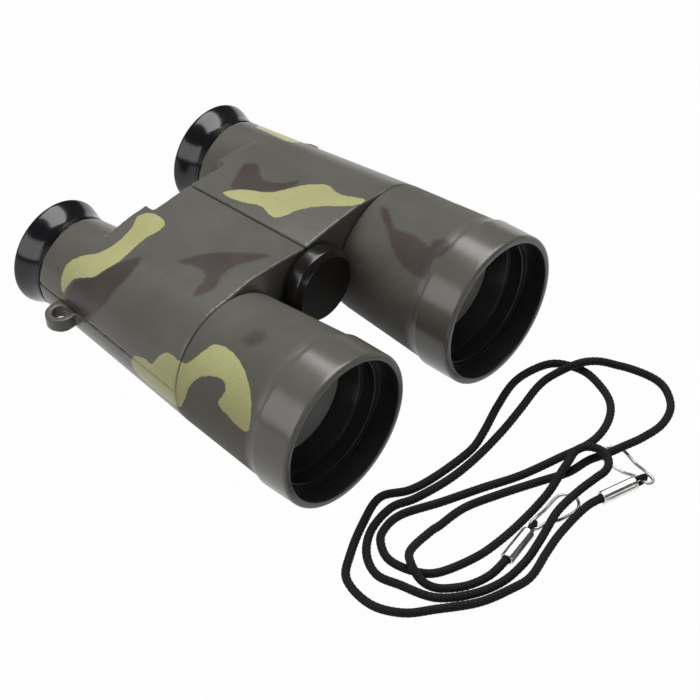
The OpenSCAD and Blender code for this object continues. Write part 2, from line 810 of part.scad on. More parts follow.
// Crimped ferrule with its creases and the cord's socket
module ferrule(at, turn) {
    color(steel)
        at_ferrule(at, turn)
            rotate([0, 90, 0])
                difference() {
                    cylinder(d = ferrule_d, h = ferrule_length);
                    translate([0, 0, -1])
                        cylinder(d = cord_d + 2 * fit, h = ferrule_socket + 1);
                    for (a = [140, 180, 220])
                        rotate([0, 0, a])
                            translate([ferrule_d / 2, 0, 1])
                                cylinder(r = crease, h = ferrule_length - 2, $fn = 16);
                }
}

// Doubled cord end that carries the clip
module end_loop(at, turn) {
    color(black)
        at_ferrule(at, turn)
            translate([ferrule_length, 0, 0]) {
                for (side = [-1, 1])
                    translate([0, 0, side * loop_bend])
                        rotate([0, 90, 0])
                            cylinder(d = loop_d, h = loop_leg);
                translate([loop_leg, 0, 0])
                    rotate([90, 90, 0])
                        rotate_extrude(angle = 180)
                            translate([loop_bend, 0])
                                circle(d = loop_d);
            }
}

// Closed wire clip; its narrow end hangs in the end loop, its wide end lies on the table
module wire_clip(at, turn) {
    half = [
        [-0.7 * clip_bend, 0.75 * clip_neck],
        [0.2 * clip_bend, clip_neck],
        [1.2 * clip_bend, 1.1 * clip_neck],
        [0.7 * clip_length, clip_half_w],
        [0.9 * clip_length, 0.8 * clip_half_w]
    ];
    outline = concat(
        [[-clip_bend, 0]],
        half,
        [[clip_length, 0]],
        [for (p = reversed(half)) [p[0], -p[1]]]
    );
    function height(s) = mix(ferrule_z, wire_d / 2, min(max((s - clip_neck) / clip_slope, 0), 1));
    path = [for (p = smooth_loop(outline, clip_steps)) [p[0], p[1], height(p[0])]];
    count = len(path);
    rings = [
        for (i = [0 : count - 1])
            each ring(path[i], unit(path[(i + 1) % count] - path[(i + count - 1) % count]), wire_d / 2, wire_sides)
    ];
    color(steel)
        translate([at[0], at[1], 0])
            rotate([0, 0, turn])
                polyhedron(points = rings, faces = tube_faces(count, wire_sides, true));
}

// Middle of an end loop's bend, where the clip's wire passes
function loop_middle(at, turn) = ferrule_point(at, turn, ferrule_length + loop_leg);

// The first clip hangs by its side, the second by its narrow end
clip_a_at = loop_middle(ferrule_a_at, ferrule_a_turn)
    + clip_neck * heading(clip_a_turn - 90) - clip_bend / 2 * heading(clip_a_turn);
clip_b_at = loop_middle(ferrule_b_at, ferrule_b_turn) + (clip_bend - clip_slack) * heading(clip_b_turn);

on_side(false) upper_shell(false);  // right_upper_shell
on_side(false) lower_shell();  // right_lower_shell
on_side(false) objective_barrel();  // right_objective_barrel
on_side(false) objective_lens();  // right_objective_lens
on_side(false) lens_retainer();  // right_lens_retainer
on_side(false) eyecup();  // right_eyecup
on_side(false) eye_lens();  // right_eye_lens
on_side(false) eye_lens_ring();  // right_eye_lens_ring
on_side(false) shell_screws();  // right_shell_screws
on_side(true) upper_shell(true);  // left_upper_shell
on_side(true) lower_shell();  // left_lower_shell
on_side(true) objective_barrel();  // left_objective_barrel
on_side(true) objective_lens();  // left_objective_lens
on_side(true) lens_retainer();  // left_lens_retainer
on_side(true) eyecup();  // left_eyecup
on_side(true) eye_lens();  // left_eye_lens
on_side(true) eye_lens_ring();  // left_eye_lens_ring
on_side(true) shell_screws();  // left_shell_screws
hinge_axle();
centre_knob();
knob_washer();
axle_cap();
neck_cord();
ferrule(ferrule_a_at, ferrule_a_turn);  // ferrule_a
ferrule(ferrule_b_at, ferrule_b_turn);  // ferrule_b
end_loop(ferrule_a_at, ferrule_a_turn);  // end_loop_a
end_loop(ferrule_b_at, ferrule_b_turn);  // end_loop_b
wire_clip(clip_a_at, clip_a_turn);  // wire_clip_a
wire_clip(clip_b_at, clip_b_turn);  // wire_clip_b
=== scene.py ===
"""Toy binoculars with an unhooked neck cord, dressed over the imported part.

Sizes are millimetres. A tube is drawn level, as in the part's source: its front rim is at y = 0, its axis at z = 0,
and the hinge's seam at x = 0. Stance sets a drawn point down on the table, in metres.
"""

import logging
import math
from dataclasses import dataclass
from enum import Enum
from typing import Any, Callable, Sequence

import bmesh
import bpy
import numpy as np
from mathutils import Matrix, Vector


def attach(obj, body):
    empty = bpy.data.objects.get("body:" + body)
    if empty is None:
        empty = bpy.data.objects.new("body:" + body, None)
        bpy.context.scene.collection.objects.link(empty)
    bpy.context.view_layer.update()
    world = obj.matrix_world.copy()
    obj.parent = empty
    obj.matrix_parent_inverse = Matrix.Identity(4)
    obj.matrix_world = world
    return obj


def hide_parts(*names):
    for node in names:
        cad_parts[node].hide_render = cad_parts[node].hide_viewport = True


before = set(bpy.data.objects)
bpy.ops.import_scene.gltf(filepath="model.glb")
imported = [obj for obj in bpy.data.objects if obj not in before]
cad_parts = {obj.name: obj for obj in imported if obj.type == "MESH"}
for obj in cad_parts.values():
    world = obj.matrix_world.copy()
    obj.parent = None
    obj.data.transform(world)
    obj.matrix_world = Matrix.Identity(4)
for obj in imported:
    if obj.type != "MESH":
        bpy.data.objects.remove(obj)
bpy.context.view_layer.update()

MM = 0.001
HALF_SPACING = 30.8
FINE, SOFT, ROUND = 0.1, 0.2, 0.3  # usual roundings of an edge
TINY = 1e-12  # keeps a divisor from being zero
LOG = logging.getLogger("binoculars")
Corner = tuple[float, float, float]
Point2 = tuple[float, float]
Rgb = tuple[int, int, int]
Material = bpy.types.Material
Mesh = bpy.types.Mesh
Node = bpy.types.Node
Object = bpy.types.Object
Socket = bpy.types.NodeSocket


class Side(Enum):
    """A half of the binoculars, as its user names it; the value is the direction of its tube along x."""

    RIGHT = -1
    LEFT = 1

    @property
    def label(self) -> str:
        """Name of the side, as the nodes' names begin."""
        return self.name.lower()

    @property
    def body(self) -> str:
        """Name of the half's body."""
        return f"{self.label}_half"


class Slot(Enum):
    """Material slots."""

    OLIVE = "olive_plastic"
    BLACK = "black_plastic"
    LENS = "clear_lens"
    STEEL = "steel"
    NICKEL = "nickel"
    CORD = "cord"


# ---------------------------------------------------------------------------------------------- shapes


@dataclass(frozen=True)
class Stance:
    """How the drawn tubes stand on the table."""

    pitch: float = math.radians(3.6853)
    shift_y: float = -56.1337
    axis_height: float = 23.0618

    def place(self, drawn: np.ndarray) -> np.ndarray:
        """Sets drawn points down on the table.

        Args:
            drawn: Points of the level drawing, in millimetres.

        Returns:
            The same points on the table, in metres.
        """
        c, s = math.cos(self.pitch), math.sin(self.pitch)
        x, y, z = np.asarray(drawn, float).T
        return np.stack([x, y * c + z * s + self.shift_y, z * c - y * s + self.axis_height], 1) * MM

    def drawn(self, placed: np.ndarray) -> np.ndarray:
        """Takes points on the table back to the level drawing.

        Args:
            placed: Points on the table, in metres.

        Returns:
            The drawn points, in millimetres.
        """
        c, s = math.cos(self.pitch), math.sin(self.pitch)
        x, y, z = (np.asarray(placed, float) / MM).T
        y, z = y - self.shift_y, z - self.axis_height
        return np.stack([x, y * c - z * s, y * s + z * c], 1)


STANCE = Stance()


def between(a: np.ndarray, b: np.ndarray, c: np.ndarray, d: np.ndarray, t: float) -> np.ndarray:
    """Point at share t of the smooth curve from b to c, which comes from a and goes on to d."""
    return 0.5 * (2 * b + (c - a) * t + (2 * a - 5 * b + 4 * c - d) * t**2 + (3 * b - a - 3 * c + d) * t**3)


def smooth_path(points: Sequence[Sequence[float]], steps: int, closed: bool = False) -> np.ndarray:
    """One smooth curve through points.

    Args:
        points: The points, of any dimension.
        steps: Steps of each span.
        closed: Whether the curve returns to its start.

    Returns:
        The curve's points.
    """
    p = np.asarray(points, float)
    n = len(p)
    rows = []
    for i in range(n if closed else n - 1):
        near = [(i + k) % n if closed else min(max(i + k, 0), n - 1) for k in (-1, 0, 1, 2)]
        rows += [between(*p[near], k / steps) for k in range(steps)]
    return np.array(rows if closed else [*rows, p[-1]])


def rounded(
    corners: Sequence[Corner], closed: bool, steps: int = 5, longest: float = 1.2, share: float = 0.48
) -> np.ndarray:
    """A profile with its corners rounded and its long edges divided.

    Args:
        corners: Radius, distance behind the rim and rounding of each corner.
        closed: Whether the last corner joins the first.
        steps: Steps of a rounding.
        longest: Longest edge that stays whole.
        share: Share of an edge that one rounding may take up.

    Returns:
        The profile's points as radius and distance.
    """
    count = len(corners)
    outline: list[np.ndarray] = []
    for i, (r, y, radius) in enumerate(corners):
        here = np.array([r, y])
        if radius <= 0 or (not closed and i in (0, count - 1)):
            outline.append(here)
            continue
        back = np.array(corners[i - 1][:2]) - here
        ahead = np.array(corners[(i + 1) % count][:2]) - here
        lb, la = np.linalg.norm(back), np.linalg.norm(ahead)
        back, ahead = back / lb, ahead / la
        half = 0.5 * math.acos(float(np.clip(back @ ahead, -1, 1)))
        reach = min(radius / math.tan(half), share * lb, share * la)
        for k in range(steps + 1):
            t = k / steps
            outline.append(here + reach * ((1 - t) ** 2 * back + t**2 * ahead))
    ends = outline[1:] + outline[:1] if closed else outline[1:]
    points = []
    for a, b in zip(outline, ends):
        parts = max(1, math.ceil(float(np.linalg.norm(b - a)) / longest))
        points += [a + (b - a) * k / parts for k in range(parts)]
    return np.array(points if closed else [*points, outline[-1]])


def arc(centre: Point2, radius: float, start: float, stop: float, steps: int = 6) -> list[Corner]:
    """Points of an arc in a profile, as corners that stay as they are.

    Args:
        centre: Radius and distance of the arc's centre.
        radius: The arc's own radius.
        start: First angle, in degrees.
        stop: Last angle, in degrees.
        steps: Steps between them.

    Returns:
        The corners.
    """
    angles = [math.radians(start + (stop - start) * k / steps) for k in range(steps + 1)]
    return [(centre[0] + radius * math.cos(a), centre[1] + radius * math.sin(a), 0.0) for a in angles]


def dome(radius: float, sag: float, steps: int = 14) -> list[Point2]:
    """Half outline of a shallow ball, from its top to its rim.

    Args:
        radius: Radius of the rim.
        sag: Height of the top above the rim; a hollow's is negative.
        steps: Steps between them.

    Returns:
        Radius and height of each point.
    """
    ball = (radius**2 + sag**2) / (2 * sag)
    turn = math.asin(radius / ball) / steps
    return [(ball * math.sin(turn * k), ball * math.cos(turn * k) - ball + sag) for k in range(steps + 1)]


def lens_profile(window: float, rim: float, front: float, rear: float, sags: Point2) -> np.ndarray:
    """Profile of a lens with a flat rim.

    Args:
        window: Radius of its curved part.
        rim: Radius of its edge.
        front: Distance of the rim's front.
        rear: Distance of the rim's rear.
        sags: How far the front and the rear swell; a hollow is negative.

    Returns:
        Radius and distance of each point.
    """
    ahead = [(r, front - h) for r, h in dome(window, sags[0])]
    behind = [(r, rear + h) for r, h in reversed(dome(window, sags[1]))]
    return np.array([*ahead, (rim, front), (rim, rear), *behind])


def mesh_from(
    points: np.ndarray, faces: Sequence[Sequence[int]], material: Material | None = None, crease: float = 38
) -> Mesh:
    """A mesh with outward faces, smooth but for its creases.

    Args:
        points: Its points, in metres.
        faces: Point numbers of each face.
        material: Its finish, if it has its own.
        crease: Angle in degrees above which an edge stays sharp.

    Returns:
        The mesh.
    """
    mesh = bpy.data.meshes.new("shape")
    mesh.from_pydata([tuple(p) for p in points], [], [tuple(f) for f in faces])
    work = bmesh.new()
    work.from_mesh(mesh)
    bmesh.ops.recalc_face_normals(work, faces=work.faces)
    work.to_mesh(mesh)
    work.free()
    mesh.shade_smooth()
    mesh.set_sharp_from_angle(angle=math.radians(crease))
    if material:
        mesh.materials.append(material)
    return mesh


def ring_faces(rows: int, around: int) -> list[tuple[int, ...]]:
    """Faces of a round shape given row by row, with its two flat ends.

    Args:
        rows: Number of rows.
        around: Points of each row.

    Returns:
        Point numbers of each face.
    """
    faces: list[tuple[int, ...]] = []
    for start in range(0, (rows - 1) * around, around):
        for k in range(around):
            m = (k + 1) % around
            faces.append((start + k, start + m, start + around + m, start + around + k))
    return [*faces, tuple(range(around)), tuple(range((rows - 1) * around, rows * around))]


def turned(profile: np.ndarray, centre: Point2, closed: bool, material: Material, segments: int = 144) -> Mesh:
    """A profile turned about a line along the tubes and set down on the table.

    Args:
        profile: Radius and distance behind the rim of each point.
        centre: Drawn x and z of the line.
        closed: Whether the profile is a ring's section; otherwise it starts and ends on the line.
        material: The finish.
        segments: Steps around the line.

    Returns:
        The mesh.
    """
    on_line = 1e-6
    points: list[Corner] = []
    rows: list[list[int]] = []
    for r, y in profile:
        turns = 1 if r < on_line else segments
        rows.append([len(points) + k % turns for k in range(segments)])
        for k in range(turns):
            a = 2 * math.pi * k / segments
            points.append((centre[0] + r * math.sin(a), y, centre[1] + r * math.cos(a)))
    faces = []
    for a, b in zip(rows, rows[1:] + rows[:1] if closed else rows[1:]):
        for k in range(segments):
            m = (k + 1) % segments
            faces.append(list(dict.fromkeys([a[k], a[m], b[m], b[k]])))
    return mesh_from(STANCE.place(np.array(points)), faces, material)


def set_field(mesh: Mesh, name: str, values: np.ndarray) -> None:
    """Stores one number for each point of a mesh, under the name that a finish reads."""
    field = mesh.attributes.new(name, "FLOAT", "POINT")
    field.data.foreach_set("value", np.asarray(values, np.float32))


def points_of(mesh: Mesh) -> np.ndarray:
    """Points of a mesh, in metres."""
    flat = np.zeros(len(mesh.vertices) * 3, np.float32)
    mesh.vertices.foreach_get("co", flat)
    return flat.reshape(-1, 3).astype(float)


def dress_where(mesh: Mesh, material: Material, chosen: np.ndarray) -> None:
    """Gives some faces of a mesh another material.

    Args:
        mesh: The mesh, which has its first material.
        material: The other material.
        chosen: Whether each point is chosen; a face changes where all its points are.
    """
    mesh.materials.append(material)
    picked = [int(all(chosen[v] for v in face.vertices)) for face in mesh.polygons]
    mesh.polygons.foreach_set("material_index", picked)


def linked(name: str, data: bpy.types.ID) -> Object:
    """A new object in the scene; its data takes its name.

    Args:
        name: The name.
        data: Mesh, camera or lamp.

    Returns:
        The object.
    """
    data.name = name
    obj = bpy.data.objects.new(name, data)
    bpy.context.scene.collection.objects.link(obj)
    return obj


def modified(source: Mesh, arrange: Callable[[Object], None]) -> Mesh:
    """Plain mesh that modifiers make of another.

    Args:
        source: Mesh to start from.
        arrange: Gives an object its modifiers.

    Returns:
        The new mesh.
    """
    obj = linked("modified", source)
    arrange(obj)
    graph = bpy.context.evaluated_depsgraph_get()
    mesh = bpy.data.meshes.new_from_object(obj.evaluated_get(graph), preserve_all_data_layers=True, depsgraph=graph)
    bpy.data.objects.remove(obj)
    return mesh


def add_piece(node: str, made: str, mesh: Mesh, body: str) -> Object:
    """Puts a finished mesh in the scene in place of its solid.

    Args:
        node: Node that it stands for.
        made: How it is made, which ends its name.
        mesh: Its mesh, in place on the table.
        body: Body that it moves with.

    Returns:
        The piece.
    """
    obj = linked(f"{node}_{made}", mesh)
    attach(obj, body)
    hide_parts(node)
    LOG.info("%s: %d points on %s", obj.name, len(mesh.vertices), body)
    return obj


# ------------------------------------------------------------------------------------------ node trees


class NodeSheet:
    """A node tree, with short ways to add and join its nodes."""

    def __init__(self, tree: bpy.types.NodeTree) -> None:
        """Takes the tree that the nodes go in."""
        self.tree = tree

    def feed(self, node: Node, key: str | int, value: Any) -> None:
        """Gives an input, by name or number, a fixed value or another node's output."""
        if isinstance(value, Socket):
            self.tree.links.new(value, node.inputs[key])
        else:
            node.inputs[key].default_value = value

    def add(self, kind: str, values: dict[Any, Any] | None = None, **settings: Any) -> Node:
        """Adds a node.

        Args:
            kind: Its type.
            values: Numbers, colours or outputs for its inputs, by name or number.
            settings: Its own settings.

        Returns:
            The node.
        """
        node = self.tree.nodes.new(kind)
        for key, value in settings.items():
            setattr(node, key, value)
        for key, value in (values or {}).items():
            self.feed(node, key, value)
        return node

    def math(self, operation: str, a: Any, b: Any = 0.0, c: Any = 0.0) -> Socket:
        """Output of a sum on up to three numbers."""
        return self.add("ShaderNodeMath", {0: a, 1: b, 2: c}, operation=operation).outputs[0]


class ShaderSheet(NodeSheet):
    """A material's node tree."""

    def __init__(self, name: str) -> None:
        """Starts a material with that name."""
        self.material = bpy.data.materials.new(name)
        self.material.use_nodes = True
        super().__init__(self.material.node_tree)
        self.surface = self.tree.nodes["Principled BSDF"]
        self.place = self.add("ShaderNodeTexCoord").outputs["Object"]

    def noise(self, size: float, detail: float = 2, rough: float = 0.5) -> Socket:
        """Noise on the piece's own coordinates.

        Args:
            size: Size of its blots, in millimetres.
            detail: Octaves of finer blots.
            rough: How much the finer blots count.

        Returns:
            Output from 0 to 1.
        """
        values = {"Vector": self.place, "Scale": 1 / (size * MM), "Detail": detail, "Roughness": rough}
        return self.add("ShaderNodeTexNoise", values).outputs["Fac"]

    def field(self, name: str) -> Socket:
        """Output that reads a number stored on the mesh."""
        return self.add("ShaderNodeAttribute", attribute_name=name).outputs["Fac"]

    def ramp(self, value: Any, low: float, high: float, to_low: float = 0, to_high: float = 1) -> Socket:
        """Soft step from one number to another.

        Args:
            value: What is read.
            low: Where the step starts.
            high: Where it ends.
            to_low: Number before the step.
            to_high: Number after it.

        Returns:
            Output of the step.
        """
        values = {"Value": value, "From Min": low, "From Max": high, "To Min": to_low, "To Max": to_high}
        return self.add("ShaderNodeMapRange", values, interpolation_type="SMOOTHSTEP").outputs["Result"]

    def mix(self, share: Any, a: Any, b: Any) -> Socket:
        """Colour between two colours, with that share of the second."""
        return self.add("ShaderNodeMix", {0: share, 6: a, 7: b}, data_type="RGBA").outputs[2]

    def bump(self, height: Any, depth: float) -> None:
        """Gives the surface a relief from an output of 0 to 1, with that depth in millimetres."""
        node = self.add("ShaderNodeBump", {"Height": height, "Distance": depth * MM, "Strength": 1.0})
        self.feed(self.surface, "Normal", node.outputs["Normal"])

    def finish(self, **sockets: Any) -> Material:
        """Sets the surface's own inputs, their spaces written as underscores, and returns the material."""
        for key, value in sockets.items():
            self.feed(self.surface, key.replace("_", " "), value)
        return self.material


class GeometrySheet(NodeSheet):
    """A Geometry Nodes tree with named inputs."""

    def __init__(self, name: str, inputs: dict[str, str]) -> None:
        """Starts a tree.

        Args:
            name: Its name.
            inputs: Socket type of each named input.
        """
        super().__init__(bpy.data.node_groups.new(name, "GeometryNodeTree"))
        face = self.tree.interface
        face.new_socket("Geometry", in_out="INPUT", socket_type="NodeSocketGeometry")
        self.keys = {k: face.new_socket(k, in_out="INPUT", socket_type=t).identifier for k, t in inputs.items()}
        face.new_socket("Geometry", in_out="OUTPUT", socket_type="NodeSocketGeometry")
        self.given = self.tree.nodes.new("NodeGroupInput").outputs
        self.result = self.tree.nodes.new("NodeGroupOutput")

    def store(self, geometry: Any, name: str, value: Any) -> Socket:
        """Keeps a number on each point under a name."""
        values = {"Geometry": geometry, "Name": name, "Value": value}
        node = self.add("GeometryNodeStoreNamedAttribute", values, data_type="FLOAT", domain="POINT")
        return node.outputs["Geometry"]

    def read(self, name: str) -> Socket:
        """Output that reads a kept number."""
        return self.add("GeometryNodeInputNamedAttribute", {"Name": name}, data_type="FLOAT").outputs["Attribute"]

    def close(self, geometry: Any) -> None:
        """Ends the tree: instances made real, then the material."""
        real = self.add("GeometryNodeRealizeInstances", {"Geometry": geometry}).outputs["Geometry"]
        dressed = self.add("GeometryNodeSetMaterial", {"Geometry": real, "Material": self.given["Material"]})
        self.feed(self.result, "Geometry", dressed.outputs["Geometry"])

    def apply(self, source: Mesh, values: dict[str, Any]) -> Mesh:
        """Runs the tree on a mesh.

        Args:
            source: Mesh that the tree starts from.
            values: Value of each named input.

        Returns:
            The plain mesh that the tree makes.
        """

        def arrange(obj: Object) -> None:
            """Gives the object the tree as its modifier."""
            modifier = obj.modifiers.new("tree", "NODES")
            modifier.node_group = self.tree
            for key, value in values.items():
                modifier[self.keys[key]] = value

        return modified(source, arrange)


class SweptTube(GeometrySheet):
    """Round or braided tube along a line; the braid's cells sink between its crossing strands."""

    def __init__(self) -> None:
        """Builds the tree."""
        inputs = dict.fromkeys(("Radius", "Step", "Relief", "Strands", "Pitch"), "NodeSocketFloat")
        super().__init__("swept_tube", inputs | {"Sides": "NodeSocketInt", "Material": "NodeSocketMaterial"})
        given = self.given
        line = self.add("GeometryNodeMeshToCurve", {"Mesh": given["Geometry"]}).outputs["Curve"]
        even = self.add("GeometryNodeResampleCurve", {"Curve": line, "Length": given["Step"]}, mode="LENGTH")
        spline = self.add("GeometryNodeSplineParameter").outputs
        path = self.store(even.outputs["Curve"], "along", spline["Length"])
        section = {"Resolution": given["Sides"], "Radius": given["Radius"]}
        circle = self.add("GeometryNodeCurvePrimitiveCircle", section)
        profile = self.store(circle.outputs["Curve"], "around", spline["Factor"])
        swept = {"Curve": path, "Profile Curve": profile, "Fill Caps": True}
        tube = self.add("GeometryNodeCurveToMesh", swept).outputs["Mesh"]
        turn = self.math("MULTIPLY", self.math("MULTIPLY", self.read("around"), math.pi), given["Strands"])
        run = self.math("MULTIPLY", self.math("DIVIDE", self.read("along"), given["Pitch"]), math.pi)
        one = self.math("SINE", self.math("ADD", turn, run))
        other = self.math("SINE", self.math("SUBTRACT", turn, run))
        relief = self.math("SQRT", self.math("ABSOLUTE", self.math("MULTIPLY", one, other)))
        tube = self.store(tube, "relief", relief)
        sink = self.math("MULTIPLY", self.math("SUBTRACT", self.read("relief"), 1.0), given["Relief"])
        normal = self.add("GeometryNodeInputNormal").outputs["Normal"]
        offset = self.add("ShaderNodeVectorMath", {0: normal, "Scale": sink}, operation="SCALE").outputs["Vector"]
        moved = self.add("GeometryNodeSetPosition", {"Geometry": tube, "Offset": offset}).outputs["Geometry"]
        self.close(self.add("GeometryNodeSetShadeSmooth", {"Geometry": moved}).outputs["Geometry"])


class SetOnPoints(GeometrySheet):
    """Copies of one shape, one on each point."""

    def __init__(self) -> None:
        """Builds the tree."""
        super().__init__("set_on_points", {"Shape": "NodeSocketObject", "Material": "NodeSocketMaterial"})
        shape = self.add("GeometryNodeObjectInfo", {"Object": self.given["Shape"]}).outputs["Geometry"]
        copies = self.add("GeometryNodeInstanceOnPoints", {"Points": self.given["Geometry"], "Instance": shape})
        self.close(copies.outputs["Instances"])


# -------------------------------------------------------------------------------------------- finishes


def linear(colour: Rgb, change: int = 0) -> tuple[float, float, float, float]:
    """A colour as a shader takes it.

    Args:
        colour: Red, green and blue, 0 to 255, as a screen shows them.
        change: What is added to each.

    Returns:
        The linear colour with full alpha.
    """
    parts = [(c + change) / 255 for c in colour]
    r, g, b = (c / 12.92 if c <= 0.04045 else ((c + 0.055) / 1.055) ** 2.4 for c in parts)
    return r, g, b, 1.0


@dataclass(frozen=True)
class CamouflagePlastic:
    """Satin moulded plastic with sprayed patches, read from the fields khaki, umber and grain of a mesh."""

    name: str = "camouflage_plastic"
    olive: Rgb = (95, 94, 87)
    umber: Rgb = (72, 64, 61)
    khaki: Rgb = (178, 177, 127)
    olive_cloud: tuple[int, int] = (-4, 3)
    umber_cloud: tuple[int, int] = (0, 8)
    khaki_cloud: tuple[int, int] = (0, -9)
    cloud_size: float = 16
    cloud_edge: Point2 = (0.3, 0.7)
    khaki_edge: float = 0.16
    umber_edge: float = 0.75
    stray: float = 0.7
    stray_size: float = 1.3
    grain: float = 0.62
    grain_depth: float = 0.2
    grain_rough: float = 0.1
    smooth: float = 0.22
    rough: float = 0.52
    sheen: float = 0.46
    dull_sheen: float = 0.08

    def material(self) -> Material:
        """The finish as a material."""
        s = ShaderSheet(self.name)
        stray = s.math("MULTIPLY_ADD", s.noise(self.stray_size, detail=3), self.stray, -self.stray / 2)
        khaki = s.ramp(s.math("ADD", s.field("khaki"), stray), -self.khaki_edge, self.khaki_edge)
        umber = s.ramp(s.math("ADD", s.field("umber"), stray), -self.umber_edge, self.umber_edge)
        cloudy = s.ramp(s.noise(self.cloud_size, detail=3, rough=0.6), *self.cloud_edge)
        tints = ((self.olive, self.olive_cloud), (self.umber, self.umber_cloud), (self.khaki, self.khaki_cloud))
        base, brown, straw = (s.mix(cloudy, linear(c, low), linear(c, high)) for c, (low, high) in tints)
        colour = s.mix(khaki, s.mix(umber, base, brown), straw)
        grain = s.noise(self.grain, detail=3, rough=0.6)
        s.bump(s.math("MULTIPLY", grain, s.field("grain")), self.grain_depth)
        least = self.smooth - self.grain_rough / 2
        dull = s.math("MULTIPLY_ADD", s.field("grain"), self.rough - self.smooth, least)
        rough = s.math("MULTIPLY_ADD", grain, self.grain_rough, dull)
        shine = s.math("MULTIPLY_ADD", s.field("grain"), self.dull_sheen - self.sheen, self.sheen)
        return s.finish(Base_Color=colour, Roughness=rough, Specular_IOR_Level=shine)


@dataclass(frozen=True)
class BlackPlastic:
    """Black moulded plastic, from gloss to satin."""

    name: str
    colour: Rgb = (19, 19, 21)
    roughness: float = 0.15
    specular: float = 0.42
    grain: float = 0.5
    grain_depth: float = 0.004
    smear_size: float = 5
    smear_edge: Point2 = (0.35, 0.75)
    smear_tint: int = 4
    smear_rough: float = 0.1
    smear_mean: float = 0.04

    def material(self) -> Material:
        """The finish as a material."""
        s = ShaderSheet(self.name)
        smear = s.noise(self.smear_size, detail=4, rough=0.65)
        rough = s.math("MULTIPLY_ADD", smear, self.smear_rough, self.roughness - self.smear_mean)
        share = s.ramp(smear, *self.smear_edge)
        colour = s.mix(share, linear(self.colour), linear(self.colour, self.smear_tint))
        s.bump(s.noise(self.grain, detail=3), self.grain_depth)
        return s.finish(Base_Color=colour, Roughness=rough, Specular_IOR_Level=self.specular)


@dataclass(frozen=True)
class LensPlastic:
    """Slightly clouded moulded lens with faint handling smears."""

    name: str = "clear_lens_plastic"
    colour: Rgb = (212, 212, 206)
    clarity: float = 0.42
    refraction: float = 1.49
    smear_size: float = 7
    smear_edge: Point2 = (0.45, 0.8)
    roughness: Point2 = (0.03, 0.1)

    def material(self) -> Material:
        """The finish as a material."""
        s = ShaderSheet(self.name)
        rough = s.ramp(s.noise(self.smear_size, detail=4, rough=0.6), *self.smear_edge, *self.roughness)
        colour = linear(self.colour)
        return s.finish(Base_Color=colour, Roughness=rough, Transmission_Weight=self.clarity, IOR=self.refraction)


@dataclass(frozen=True)
class BrightMetal:
    """Plated or drawn metal with fine rub marks."""

    name: str
    colour: Rgb
    roughness: float
    rub_size: float = 1.8
    rub_rough: float = 0.12
    dull_size: float = 2.4
    dull_edge: Point2 = (0.4, 0.8)
    dull_tint: int = -34

    def material(self) -> Material:
        """The finish as a material."""
        s = ShaderSheet(self.name)
        rough = s.math("MULTIPLY_ADD", s.noise(self.rub_size), self.rub_rough, self.roughness - self.rub_rough / 2)
        share = s.ramp(s.noise(self.dull_size, detail=3), *self.dull_edge)
        colour = s.mix(share, linear(self.colour), linear(self.colour, self.dull_tint))
        return s.finish(Base_Color=colour, Roughness=rough, Metallic=1.0)


@dataclass(frozen=True)
class BlackBraid:
    """Braided yarn, read from the fields along, around and relief of a swept tube; its colour is painted shade in the
    braid's sinks and painted highlight specks on its proud strands.
    """

    name: str
    strands: int
    yarns: int = 3
    lean: float = 5200.0
    fuzz_size: float = 0.25
    fibre_height: float = 0.45
    fuzz_height: float = 0.6
    fibre_depth: float = 0.05
    relief_edge: Point2 = (0.4, 0.95)
    fuzz_light: Point2 = (0.9, 0.35)
    # Colours of the painted shade in the sinks and of the painted highlight on the proud strands.
    deep: Rgb = (2, 2, 2)
    proud: Rgb = (46, 45, 42)
    roughness: float = 0.82
    specular: float = 0.25
    sheen: float = 0.06

    def material(self) -> Material:
        """The finish as a material."""
        s = ShaderSheet(self.name)
        yarn = s.math("MULTIPLY_ADD", s.field("around"), 2 * math.pi * self.strands * self.yarns)
        lean = s.math("MULTIPLY_ADD", s.field("along"), self.lean, yarn)
        fibre = s.math("MULTIPLY_ADD", s.math("SINE", lean), 0.5, 0.5)
        fuzz = s.noise(self.fuzz_size, detail=3, rough=0.7)
        raised = s.math("MULTIPLY", fuzz, self.fuzz_height)
        s.bump(s.math("MULTIPLY_ADD", fibre, self.fibre_height, raised), self.fibre_depth)
        # Painted shade and painted highlight: near-black in the sunk cells, lighter specks where the strands stand
        # proud.
        lit = s.math("MULTIPLY_ADD", fuzz, *self.fuzz_light)
        share = s.math("MULTIPLY", s.ramp(s.field("relief"), *self.relief_edge), lit)
        colour = s.mix(share, linear(self.deep), linear(self.proud))
        return s.finish(
            Base_Color=colour, Roughness=self.roughness, Specular_IOR_Level=self.specular, Sheen_Weight=self.sheen
        )


@dataclass(frozen=True)
class PaleFloor:
    """Plain white table that keeps a faint shadow."""

    name: str = "pale_floor"
    plain: float = 0.985
    greys: Point2 = (0.16, 0.19)
    grey_size: float = 40
    roughness: float = 0.9

    def material(self) -> Material:
        """The finish as a material."""
        s = ShaderSheet(self.name)
        colour = s.mix(s.noise(self.grey_size), *((g, g, g, 1) for g in self.greys))
        s.finish(Base_Color=colour, Roughness=self.roughness)
        rays = s.add("ShaderNodeLightPath").outputs
        mirrored = s.math("MAXIMUM", rays["Is Glossy Ray"], rays["Is Transmission Ray"])
        seen = s.math("MAXIMUM", rays["Is Camera Ray"], mirrored)
        glow = s.add("ShaderNodeEmission", {"Color": (1, 1, 1, 1), "Strength": 1.0}).outputs[0]
        both = {0: s.math("MULTIPLY", seen, self.plain), 1: s.surface.outputs[0], 2: glow}
        s.feed(s.tree.nodes["Material Output"], "Surface", s.add("ShaderNodeMixShader", both).outputs[0])
        return s.material


